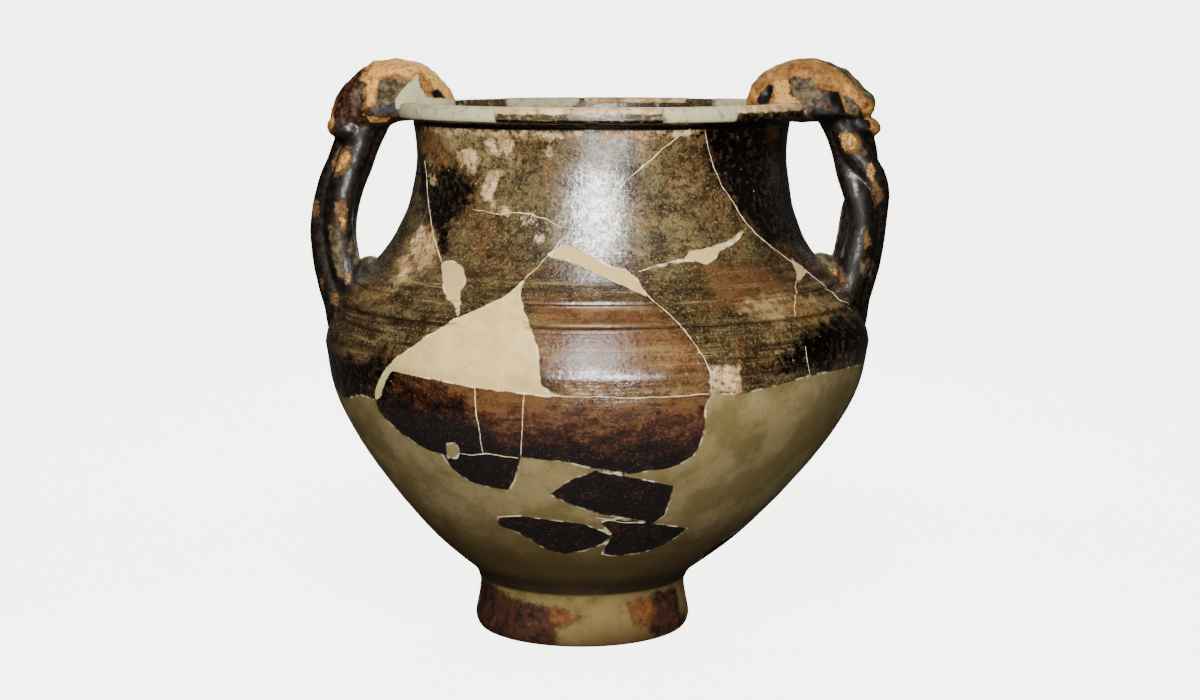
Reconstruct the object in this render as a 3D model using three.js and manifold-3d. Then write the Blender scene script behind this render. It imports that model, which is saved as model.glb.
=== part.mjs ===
// A kantharos: a two-handled drinking vessel of dark-slipped clay, mended and standing on its foot.
// The thrown bowl, its foot and both handles were fired together, so they are one solid.
// Millimetres, +Z up. The handles lie along X. The origin is on the standing plane, in the middle.
import * as THREE from "three";
import { mergeVertices } from "three/addons/utils/BufferGeometryUtils.js";
import Module from "manifold-3d";

const wasm = await Module();
wasm.setup();

// Foot
const FOOT_HEIGHT = 18; // standing plane to the waist under the belly
const FOOT_EDGE_RADIUS = 38.4; // outer edge of the ring that it stands on
const FOOT_SPREAD_RADIUS = 41; // the foot's swelling, low down
const FOOT_WAIST_RADIUS = 39.4;
const FOOT_RING_WIDTH = 7.5; // flat part of the standing ring
const FOOT_RECESS_DEPTH = 9; // hollow under the floor
const FLOOR_THICKNESS = 8;

// Belly, from the waist up to the widest circle
const BELLY_HEIGHT = 92.5;
const BELLY_RADIUS = 102.6;

// Shoulder: a collar that leans in, a small raised ridge, and a shallow band up to a sharp step
const COLLAR_HEIGHT = 15.2;
const COLLAR_TOP_RADIUS = 96;
const RIDGE_HEIGHT = 3;
const RIDGE_PROUD = 1.3;
const BAND_HEIGHT = 5;
const STEP_RADIUS = 91;
const STEP_DEPTH = 1.5; // how far the band lies back from the step's edge

// Neck and lip
const NECK_HEIGHT = 59; // from the step to the underside of the lip
const NECK_RADIUS = 69.6; // at its narrowest
const LIP_HEIGHT = 6.4;
const LIP_RADIUS = 76.4;
const MOUTH_RADIUS = 67.5;

const WALL = 5; // clay wall, measured square to its outer face
const JOINT_SINK = 2.6; // how deep a handle's clay runs into the wall

// Handles: three coils of clay twisted together, and a worn moulded lump over the lip
const COIL_RADIUS = 6.2; // at the foot of the handle
const COIL_TOP_RADIUS = 4.9;
const COIL_LAY = 4.2; // from the handle's middle line to each coil's own
const HANDLE_SET_IN = 3.2; // the middle line's widest place stands this far inside the belly's radius
const HANDLE_BOW = 8; // how far the middle line's foot and its neck stand back from there
const LUMP_RISE = 16.4; // above the lip
const LUMP_WIDTH = 29;
const LUMP_OVERHANG = 13.6; // how far it reaches in over the mouth
const LUMP_BROW = 15.6; // how far it reaches out past the top of the handle's middle line
const LUMP_DROP = 7.6; // below the lip's top
const ROOT_RISE = 12.5; // clay in the crook between handle and shoulder, above the step

// The vessel stands a little crooked: its belly leans over the foot, and the neck leans back.
const FOOT_OFFSET = -6.6;
const BELLY_OFFSET = -0.9;
const NECK_OFFSET = 0.8;

// Facets
const AROUND = 48;
const COIL_SIDES = 8;
const COIL_STEPS = 20;
const LUMP_DETAIL = 3;

// Levels that follow from the sizes above
const WAIST_LEVEL = FOOT_HEIGHT;
const BELLY_LEVEL = WAIST_LEVEL + BELLY_HEIGHT;
const COLLAR_LEVEL = BELLY_LEVEL + COLLAR_HEIGHT;
const BAND_LEVEL = COLLAR_LEVEL + RIDGE_HEIGHT;
const STEP_LEVEL = BAND_LEVEL + BAND_HEIGHT;
const NECK_TOP_LEVEL = STEP_LEVEL + NECK_HEIGHT;
const RIM_LEVEL = NECK_TOP_LEVEL + LIP_HEIGHT;

// Free curves, as shares: [share of the height, share of the way from one radius to the other].
const BELLY_CURVE = [
  [0, 0],
  [0.055, 0.04],
  [0.12, 0.155],
  [0.23, 0.338],
  [0.42, 0.585],
  [0.62, 0.8],
  [0.81, 0.944],
  [1, 1],
];
const COLLAR_CURVE = [
  [0, 0],
  [0.3, 0.13],
  [0.6, 0.45],
  [1, 1],
];
const NECK_CURVE = [
  [0, 1],
  [0.12, 0.64],
  [0.23, 0.41],
  [0.34, 0.26],
  [0.48, 0.115],
  [0.73, 0],
  [0.88, 0.012],
  [1, 0.055],
];
// The handle's middle line: [share of the way from the belly up to the lip, share of its bow].
const HANDLE_CURVE = [
  [0.01, 1.05],
  [0.09, 0.84],
  [0.18, 0.66],
  [0.26, 0.41],
  [0.36, 0.15],
  [0.5, 0],
  [0.62, 0.14],
  [0.73, 0.5],
  [0.82, 0.88],
  [0.9, 1.25],
  [0.965, 1.65],
];

// What differs from one handle to the other. The coils turn by `twist` degrees between the two
// shares of the handle's length in `twistSpan`. Places on a lump are [out from its middle, up from
// the lip]; its knobs are worn features, its hollows lie on both flanks, and it slumps inwards and
// grows slimmer as it rises. The handle's upper half lies further out by `lie`. The root's place is
// [out from the vessel's axis, up from the step].
const LEFT = {
  side: -1,
  start: 105,
  twist: 40,
  twistSpan: [0, 1],
  lie: -0.7,
  tilt: 3,
  slump: 0.07,
  slim: 0.13,
  root: [87.5, 1.5],
  knobs: [
    { at: [17, -9.6], size: [8.2, 10.5, 5], tilt: -8 },
    { at: [8, -5], size: [13, 12, 5], tilt: 4 },
  ],
  hollows: [
    { at: [3, 7], size: [7.5, 3, 5] },
    { at: [12.5, 1.5], size: [4, 2.6, 5.5] },
  ],
};
const RIGHT = {
  side: 1,
  start: 22,
  twist: -120,
  twistSpan: [0.48, 0.88],
  lie: 1.9,
  tilt: 0,
  slump: 0.1,
  slim: 0,
  root: [86, 3],
  knobs: [
    { at: [18.2, -8.2], size: [9, 8, 4.4], tilt: 14 },
    { at: [17.6, -0.5], size: [7.2, 11, 6], tilt: 0 },
  ],
  hollows: [
    { at: [-1, 7], size: [7.5, 3, 5] },
    { at: [11.5, 2.5], size: [4.4, 2.6, 5] },
  ],
};

// Points [radius, level] along a free curve.
function curve(shares, fromRadius, toRadius, fromLevel, height, count) {
  const points = shares.map(
    ([up, across]) =>
      new THREE.Vector2(fromRadius + (toRadius - fromRadius) * across, fromLevel + height * up),
  );
  return new THREE.SplineCurve(points).getSpacedPoints(count);
}

function belly(count) {
  return curve(BELLY_CURVE, FOOT_WAIST_RADIUS, BELLY_RADIUS, WAIST_LEVEL, BELLY_HEIGHT, count);
}

function collar(count) {
  return curve(COLLAR_CURVE, BELLY_RADIUS, COLLAR_TOP_RADIUS, BELLY_LEVEL, COLLAR_HEIGHT, count);
}

function neck(count) {
  return curve(NECK_CURVE, NECK_RADIUS, STEP_RADIUS, STEP_LEVEL, NECK_HEIGHT, count);
}

// The foot, from the middle of the recess under it out to the waist.
function foot() {
  const ringInner = FOOT_EDGE_RADIUS - FOOT_RING_WIDTH;
  const spread = FOOT_SPREAD_RADIUS - FOOT_EDGE_RADIUS;
  const waist = FOOT_SPREAD_RADIUS - FOOT_WAIST_RADIUS;
  return [
    new THREE.Vector2(0, FOOT_RECESS_DEPTH),
    new THREE.Vector2(ringInner * 0.84, FOOT_RECESS_DEPTH * 0.92),
    new THREE.Vector2(ringInner * 0.95, FOOT_RECESS_DEPTH * 0.55),
    new THREE.Vector2(ringInner, 0),
    new THREE.Vector2(FOOT_EDGE_RADIUS, 0),
    new THREE.Vector2(FOOT_EDGE_RADIUS + spread * 0.7, FOOT_HEIGHT * 0.08),
    new THREE.Vector2(FOOT_SPREAD_RADIUS, FOOT_HEIGHT * 0.26),
    new THREE.Vector2(FOOT_SPREAD_RADIUS - waist * 0.5, FOOT_HEIGHT * 0.56),
    new THREE.Vector2(FOOT_SPREAD_RADIUS - waist * 0.95, FOOT_HEIGHT * 0.84),
  ];
}

// The ridge at the collar's top, and the shallow band between it and the step.
function ridgeAndBand() {
  const bandFoot = COLLAR_TOP_RADIUS - STEP_DEPTH;
  const bandHead = STEP_RADIUS - STEP_DEPTH * 0.4;
  return [
    new THREE.Vector2(COLLAR_TOP_RADIUS + RIDGE_PROUD, COLLAR_LEVEL + RIDGE_HEIGHT * 0.25),
    new THREE.Vector2(COLLAR_TOP_RADIUS + RIDGE_PROUD * 0.6, COLLAR_LEVEL + RIDGE_HEIGHT * 0.7),
    new THREE.Vector2(bandFoot, BAND_LEVEL),
    new THREE.Vector2(bandHead, STEP_LEVEL - BAND_HEIGHT * 0.2),
  ];
}

// The lip's rounded edge, from the neck's top over to the mouth.
function lip() {
  const overhang = LIP_RADIUS - NECK_RADIUS;
  return [
    new THREE.Vector2(LIP_RADIUS - overhang * 0.3, NECK_TOP_LEVEL + LIP_HEIGHT * 0.1),
    new THREE.Vector2(LIP_RADIUS, NECK_TOP_LEVEL + LIP_HEIGHT * 0.34),
    new THREE.Vector2(LIP_RADIUS - overhang * 0.04, NECK_TOP_LEVEL + LIP_HEIGHT * 0.76),
    new THREE.Vector2(LIP_RADIUS - overhang * 0.28, RIM_LEVEL),
    new THREE.Vector2(MOUTH_RADIUS + overhang * 0.3, RIM_LEVEL),
    new THREE.Vector2(MOUTH_RADIUS, RIM_LEVEL - LIP_HEIGHT * 0.25),
  ];
}

// A face moved inwards, square to itself.
function inset(points, depth) {
  return points.map((point, i) => {
    const before = points[Math.max(i - 1, 0)];
    const after = points[Math.min(i + 1, points.length - 1)];
    const along = after.clone().sub(before).normalize();
    return new THREE.Vector2(point.x - along.y * depth, point.y + along.x * depth);
  });
}

// The inside of the wall, from under the mouth down to the middle of the floor.
function inside(wall) {
  const floorLevel = FOOT_RECESS_DEPTH + FLOOR_THICKNESS - (WALL - wall);
  const face = inset([...belly(7), ...collar(2).slice(1), ...neck(5)], wall);
  const room = face.filter((point) => point.y > floorLevel + WALL).reverse();
  const lowest = room[room.length - 1];
  const bowl = [0.8, 0.5].map(
    (share) =>
      new THREE.Vector2(lowest.x * share, floorLevel + (lowest.y - floorLevel) * share ** 3),
  );
  return [...room, ...bowl, new THREE.Vector2(0, floorLevel)];
}

// How far the vessel's own axis stands to one side at a level.
function lean(level) {
  const up = THREE.MathUtils.clamp((level - WAIST_LEVEL) / BELLY_HEIGHT, 0, 1);
  const bellyShare = 1 - (1 - up) ** 1.6;
  const neckShare = THREE.MathUtils.smoothstep(level, STEP_LEVEL, STEP_LEVEL + NECK_HEIGHT * 0.7);
  const belly = (BELLY_OFFSET - FOOT_OFFSET) * bellyShare;
  return FOOT_OFFSET + belly + (NECK_OFFSET - BELLY_OFFSET) * neckShare;
}

function leaning(geometry) {
  const place = geometry.attributes.position;
  for (let i = 0; i < place.count; i++) {
    place.setX(i, place.getX(i) + lean(place.getZ(i)));
  }
  return geometry;
}

function thrown(profile) {
  return new THREE.LatheGeometry(profile, AROUND).rotateX(Math.PI / 2);
}

// A closed solid of a shape that is still upright; the vessel's lean is put in here.
function solid(geometry) {
  const bare = leaning(geometry.index ? geometry.toNonIndexed() : geometry.clone());
  bare.deleteAttribute("normal");
  bare.deleteAttribute("uv");
  const merged = mergeVertices(bare, 1e-3);
  const corners = merged.index.array;
  const faces = [];
  for (let i = 0; i < corners.length; i += 3) {
    const [a, b, c] = corners.slice(i, i + 3);
    if (a !== b && b !== c && c !== a) {
      faces.push(a, b, c);
    }
  }
  const vertProperties = merged.attributes.position.array;
  const triVerts = new Uint32Array(faces);
  return new wasm.Manifold(new wasm.Mesh({ numProp: 3, vertProperties, triVerts }));
}

// The handle's middle line, on the right-hand side.
function handleLine() {
  const reach = BELLY_RADIUS - HANDLE_SET_IN;
  const rise = RIM_LEVEL - BELLY_LEVEL;
  return new THREE.CatmullRomCurve3(
    HANDLE_CURVE.map(
      ([up, back]) => new THREE.Vector3(reach - HANDLE_BOW * back, 0, BELLY_LEVEL + rise * up),
    ),
  );
}

// A round coil of clay with its middle along `centres`.
function coil(centres) {
  const steps = centres.length - 1;
  const tube = new THREE.CylinderGeometry(COIL_TOP_RADIUS, COIL_RADIUS, 1, COIL_SIDES, steps);
  const place = tube.attributes.position;
  const front = new THREE.Vector3(0, 1, 0);
  for (let i = 0; i < place.count; i++) {
    const at = Math.round((place.getY(i) + 0.5) * steps);
    const before = centres[Math.max(at - 1, 0)];
    const after = centres[Math.min(at + 1, steps)];
    const along = after.clone().sub(before).normalize();
    const side = front.clone().addScaledVector(along, -front.dot(along)).normalize();
    const out = side.clone().cross(along);
    const target = centres[at].clone();
    target.addScaledVector(side, place.getX(i)).addScaledVector(out, place.getZ(i));
    place.setXYZ(i, target.x, target.y, target.z);
  }
  return tube;
}

// One of the three coils, twisted round the middle line.
function twistedCoil(make, turn) {
  const line = handleLine();
  const centres = [];
  for (let step = 0; step <= COIL_STEPS; step++) {
    const share = step / COIL_STEPS;
    const centre = line.getPointAt(share);
    const along = line.getTangentAt(share);
    const out = new THREE.Vector3(along.z, 0, -along.x);
    const turned = make.twist * THREE.MathUtils.smoothstep(share, ...make.twistSpan);
    const angle = THREE.MathUtils.degToRad(make.start + 120 * turn + turned);
    centre.addScaledVector(out, Math.cos(angle) * COIL_LAY);
    centre.y += Math.sin(angle) * COIL_LAY;
    centre.x = (centre.x + make.lie * THREE.MathUtils.smoothstep(share, 0.5, 0.8)) * make.side;
    centres.push(centre);
  }
  return coil(centres);
}

// A ball of clay drawn out along three axes, turned about Y, and set in place.
function ball(centre, size, tilt, detail) {
  const geometry = new THREE.IcosahedronGeometry(1, detail).scale(size.x, size.y, size.z);
  geometry.rotateY(THREE.MathUtils.degToRad(tilt));
  return geometry.translate(centre.x, centre.y, centre.z);
}

// The moulded lump over the lip: high and round above, flat below, knobbed and hollowed by wear.
function lump(make) {
  const inner = MOUTH_RADIUS - LUMP_OVERHANG;
  const outer = handleLine().getPoint(1).x + LUMP_BROW;
  const middle = (inner + outer) / 2;
  const base = RIM_LEVEL - LUMP_DROP * 0.5;
  const size = new THREE.Vector3((outer - inner) / 2, LUMP_WIDTH / 2, RIM_LEVEL + LUMP_RISE - base);
  const dome = new THREE.IcosahedronGeometry(1, LUMP_DETAIL).scale(size.x, size.y, size.z);
  const place = dome.attributes.position;
  const squash = (LUMP_DROP * 0.5) / size.z;
  for (let i = 0; i < place.count; i++) {
    const up = place.getZ(i);
    const rise = Math.max(up, 0) / size.z;
    const x = place.getX(i) * (1 - make.slim * rise);
    place.setX(i, x - make.side * make.slump * size.z * rise);
    place.setZ(i, up * (up < 0 ? squash : 1));
  }
  dome.rotateY(THREE.MathUtils.degToRad(make.side * make.tilt));
  dome.translate(make.side * middle, 0, base);
  let body = solid(dome);
  for (const { at, size: radii, tilt } of make.knobs) {
    const centre = new THREE.Vector3(make.side * (middle + at[0]), 0, RIM_LEVEL + at[1]);
    body = body.add(solid(ball(centre, new THREE.Vector3(...radii), make.side * tilt, 2)));
  }
  for (const { at, size: radii } of make.hollows) {
    for (const flank of [-1, 1]) {
      const centre = new THREE.Vector3(make.side * (middle + at[0]), 0, RIM_LEVEL + at[1]);
      const offX = at[0] / size.x;
      const offZ = (centre.z - base) / size.z;
      centre.y = flank * size.y * Math.sqrt(1 - offX ** 2 - offZ ** 2);
      body = body.subtract(solid(ball(centre, new THREE.Vector3(...radii), 0, 1)));
    }
  }
  return body;
}

// The clay pressed into the crook between the handle and the shoulder.
function root(make) {
  const [out, up] = make.root;
  const size = new THREE.Vector3(ROOT_RISE * 0.72, COIL_RADIUS + COIL_LAY * 0.6, ROOT_RISE);
  const centre = new THREE.Vector3(make.side * out, 0, STEP_LEVEL + up - ROOT_RISE * 0.45);
  return ball(centre, size, make.side * -24, 1);
}

function kantharos() {
  const outside = [...foot(), ...belly(9), ...collar(3).slice(1), ...ridgeAndBand(), ...neck(7)];
  const vessel = solid(thrown([...outside, ...lip(), ...inside(WALL)]));
  const room = inside(WALL - JOINT_SINK);
  const top = new THREE.Vector2(0, room[0].y);
  const hollow = solid(thrown([top, ...room].reverse()));
  let clay = vessel;
  for (const make of [LEFT, RIGHT]) {
    for (const turn of [0, 1, 2]) {
      clay = clay.add(solid(twistedCoil(make, turn)).subtract(hollow));
    }
    clay = clay.add(solid(root(make)).subtract(hollow)).add(lump(make));
  }
  return clay;
}

function centred(body) {
  const mesh = body.getMesh();
  const geometry = new THREE.BufferGeometry();
  geometry.setAttribute("position", new THREE.BufferAttribute(mesh.vertProperties, 3));
  geometry.setIndex(new THREE.BufferAttribute(mesh.triVerts, 1));
  geometry.computeBoundingBox();
  const { min, max } = geometry.boundingBox;
  return geometry.translate(-(min.x + max.x) / 2, -(min.y + max.y) / 2, -min.z);
}

const slip = new THREE.MeshStandardMaterial({ color: 0x3b2f22, roughness: 0.42, metalness: 0 });
const mesh = new THREE.Mesh(centred(kantharos()), slip);
mesh.name = "kantharos";
const group = new THREE.Group();
group.add(mesh);
export default group;
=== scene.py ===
"""A mended two-handled drinking vessel of dark-slipped clay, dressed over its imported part.

Lengths are millimetres until a mesh is made; meshes, lights and the camera are in metres.
Angles round the vessel start at the front, -Y, and grow towards the right-hand handle, +X.
"""

import logging
import math
from dataclasses import dataclass, field
from enum import Enum
from functools import reduce

import bpy
import numpy as np
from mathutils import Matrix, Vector
from mathutils.bvhtree import BVHTree

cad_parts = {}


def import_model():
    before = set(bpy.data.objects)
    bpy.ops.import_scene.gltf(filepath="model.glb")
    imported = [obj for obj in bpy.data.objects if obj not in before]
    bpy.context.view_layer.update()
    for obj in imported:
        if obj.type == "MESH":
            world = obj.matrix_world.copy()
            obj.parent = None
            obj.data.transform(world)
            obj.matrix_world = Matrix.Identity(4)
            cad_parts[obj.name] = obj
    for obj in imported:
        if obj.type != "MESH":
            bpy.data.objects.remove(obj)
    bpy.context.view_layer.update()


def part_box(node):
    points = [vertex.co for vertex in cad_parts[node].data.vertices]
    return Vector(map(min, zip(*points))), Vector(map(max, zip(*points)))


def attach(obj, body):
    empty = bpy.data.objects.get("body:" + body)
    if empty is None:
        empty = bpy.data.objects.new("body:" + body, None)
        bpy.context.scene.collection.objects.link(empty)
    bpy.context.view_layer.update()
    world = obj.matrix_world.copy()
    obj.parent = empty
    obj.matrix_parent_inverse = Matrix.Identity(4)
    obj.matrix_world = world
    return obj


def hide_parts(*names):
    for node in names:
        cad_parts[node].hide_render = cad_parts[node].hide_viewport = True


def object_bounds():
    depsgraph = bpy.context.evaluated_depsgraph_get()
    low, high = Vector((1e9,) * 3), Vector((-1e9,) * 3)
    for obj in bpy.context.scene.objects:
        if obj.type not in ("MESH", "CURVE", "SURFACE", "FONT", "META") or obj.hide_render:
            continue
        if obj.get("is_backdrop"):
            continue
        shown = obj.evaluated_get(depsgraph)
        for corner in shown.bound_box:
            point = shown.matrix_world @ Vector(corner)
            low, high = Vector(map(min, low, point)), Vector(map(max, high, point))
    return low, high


MM = 0.001
NODE = "kantharos"
BODY = "root"
LOG = logging.getLogger("kantharos")
Socket = bpy.types.NodeSocket


class Side(Enum):
    """Which of the two handles."""

    LEFT = -1
    RIGHT = 1


class Patch(Enum):
    """Painted, worn or mended areas. Each is a signed distance in millimetres on a mesh."""

    FILL = "fill"
    LOWER_FILL = "lower_fill"
    RIM_FILL = "rim_fill"
    WORN = "worn"
    # Black slip, and painted shade: the line under the lip all round, and a slit, a crevice and the underside
    # of the right handle's lump.
    BLACK = "black"
    RED = "red"
    TAN = "tan"
    UMBER = "umber"
    SHERD = "sherd"
    FOOT_SLIP = "foot_slip"
    RUST = "rust"
    CREST = "crest"
    HOLLOW = "hollow"


@dataclass(frozen=True)
class Colour:
    """A colour as it looks on a screen, 0 to 255."""

    red: int
    green: int
    blue: int

    def linear(self) -> tuple[float, float, float, float]:
        """The colour as a shader socket wants it."""
        shares = (self.red / 255, self.green / 255, self.blue / 255)
        bent = [s / 12.92 if s <= 0.04045 else ((s + 0.055) / 1.055) ** 2.4 for s in shares]
        return (bent[0], bent[1], bent[2], 1.0)


def smoothstep(value: np.ndarray | float, low: float, high: float) -> np.ndarray:
    """A soft step from 0 at low to 1 at high.

    Args:
        value: Where to read the step.
        low: Where it leaves 0.
        high: Where it reaches 1.

    Returns:
        The step's height, 0 to 1.
    """
    share = np.clip((np.asarray(value, float) - low) / (high - low), 0, 1)
    return share * share * (3 - 2 * share)


def curve_through(points: list, count: int, power: float = 0.0) -> np.ndarray:
    """A smooth curve through points, sampled at even spacing.

    Args:
        points: The points, each of two or three numbers.
        count: How many steps the result has.
        power: 0 for even knots, 0.5 for knots that follow the points' spacing.

    Returns:
        An array of count + 1 points.
    """
    given = np.asarray(points, float)
    if power:
        ends = 2 * given[0] - given[1], 2 * given[-1] - given[-2]
    else:
        ends = given[0], given[-1]
    knots = np.vstack([ends[0], given, ends[1]])
    fine = []
    for a, b, c, d in zip(knots, knots[1:], knots[2:], knots[3:]):
        gap = [max(np.linalg.norm(q - p) ** power, 1e-6) for p, q in ((a, b), (b, c), (c, d))]
        leave = ((b - a) / gap[0] - (c - a) / (gap[0] + gap[1]) + (c - b) / gap[1]) * gap[1]
        reach = ((c - b) / gap[1] - (d - b) / (gap[1] + gap[2]) + (d - c) / gap[2]) * gap[1]
        t = np.linspace(0, 1, 24, endpoint=False)[:, None]
        bend = (2 * t**3 - 3 * t**2 + 1) * b + (t**3 - 2 * t**2 + t) * leave
        fine.append(bend + (-2 * t**3 + 3 * t**2) * c + (t**3 - t**2) * reach)
    path = np.vstack(fine + [given[-1:]])
    run = np.concatenate([[0], np.cumsum(np.linalg.norm(np.diff(path, axis=0), axis=1))])
    stops = np.linspace(0, run[-1], count + 1)
    return np.stack([np.interp(stops, run, path[:, k]) for k in range(path.shape[1])], axis=1)


def unit(rows: np.ndarray) -> np.ndarray:
    """Rows brought to a length of one."""
    return rows / np.maximum(np.linalg.norm(rows, axis=1), 1e-9)[:, None]


def linked(name: str, data: bpy.types.ID) -> bpy.types.Object:
    """A new object of the scene that holds the data."""
    made = bpy.data.objects.new(name, data)
    bpy.context.scene.collection.objects.link(made)
    return made


@dataclass(frozen=True)
class Grain:
    """Smooth seeded noise in space."""

    seed: int

    def at(self, places: np.ndarray, size: float) -> np.ndarray:
        """Noise at each place.

        Args:
            places: Points in millimetres.
            size: How large one swelling is, in millimetres.

        Returns:
            One number from -1 to 1 for each place.
        """
        grid = places / size
        base = np.floor(grid).astype(np.int64)
        part = grid - base
        part = part * part * (3 - 2 * part)
        total = np.zeros(len(places))
        for corner in range(8):
            step = np.array([(corner >> k) & 1 for k in range(3)])
            cell = base + step
            mark = cell[:, 0] * 73856093 ^ cell[:, 1] * 19349663 ^ cell[:, 2] * 83492791
            mark = (mark ^ (self.seed * 40503)) & 0xFFFFFFFF
            mark = ((mark ^ (mark >> 15)) * 2246822519) & 0xFFFFFFFF
            mark = ((mark ^ (mark >> 13)) * 3266489917) & 0xFFFFFFFF
            weight = np.prod(np.where(step, part, 1 - part), axis=1)
            total += weight * (((mark ^ (mark >> 16)) & 0xFFFF) / 32767.5 - 1)
        return total


@dataclass
class Mesher:
    """Turns arrays in millimetres into a Blender piece of the vessel."""

    low: Vector
    high: Vector

    def within(self, places: np.ndarray) -> np.ndarray:
        """The places, in metres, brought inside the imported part's box."""
        low = np.array(self.low) + 1e-6
        high = np.array(self.high) - 1e-6
        return np.clip(places * MM, low, high)

    def piece(self, name: str, places: np.ndarray, faces: list) -> bpy.types.Object:
        """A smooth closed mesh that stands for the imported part.

        Args:
            name: The piece's name.
            places: Its points in millimetres.
            faces: Its faces, as tuples of point numbers.

        Returns:
            The linked object.
        """
        mesh = bpy.data.meshes.new(name)
        mesh.from_pydata(self.within(places), [], faces)
        mesh.update()
        mesh.polygons.foreach_set("use_smooth", np.ones(len(mesh.polygons), bool))
        return linked(name, mesh)

    @staticmethod
    def paint(made: bpy.types.Object, patches: dict) -> None:
        """Stores one number per point for each patch.

        Args:
            made: The piece.
            patches: From a Patch to its array.
        """
        for patch, values in patches.items():
            layer = made.data.attributes.new(patch.value, "FLOAT", "POINT")
            layer.data.foreach_set("value", np.asarray(values, np.float32))

    @staticmethod
    def settle(made: bpy.types.Object, finish: bpy.types.Material) -> None:
        """Gives a piece its finish, hangs it on the body and hides the imported part it stands in for."""
        made.data.materials.append(finish)
        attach(made, BODY)
        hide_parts(NODE)
        LOG.info("%s: %d faces", made.name, len(made.data.polygons))


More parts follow.
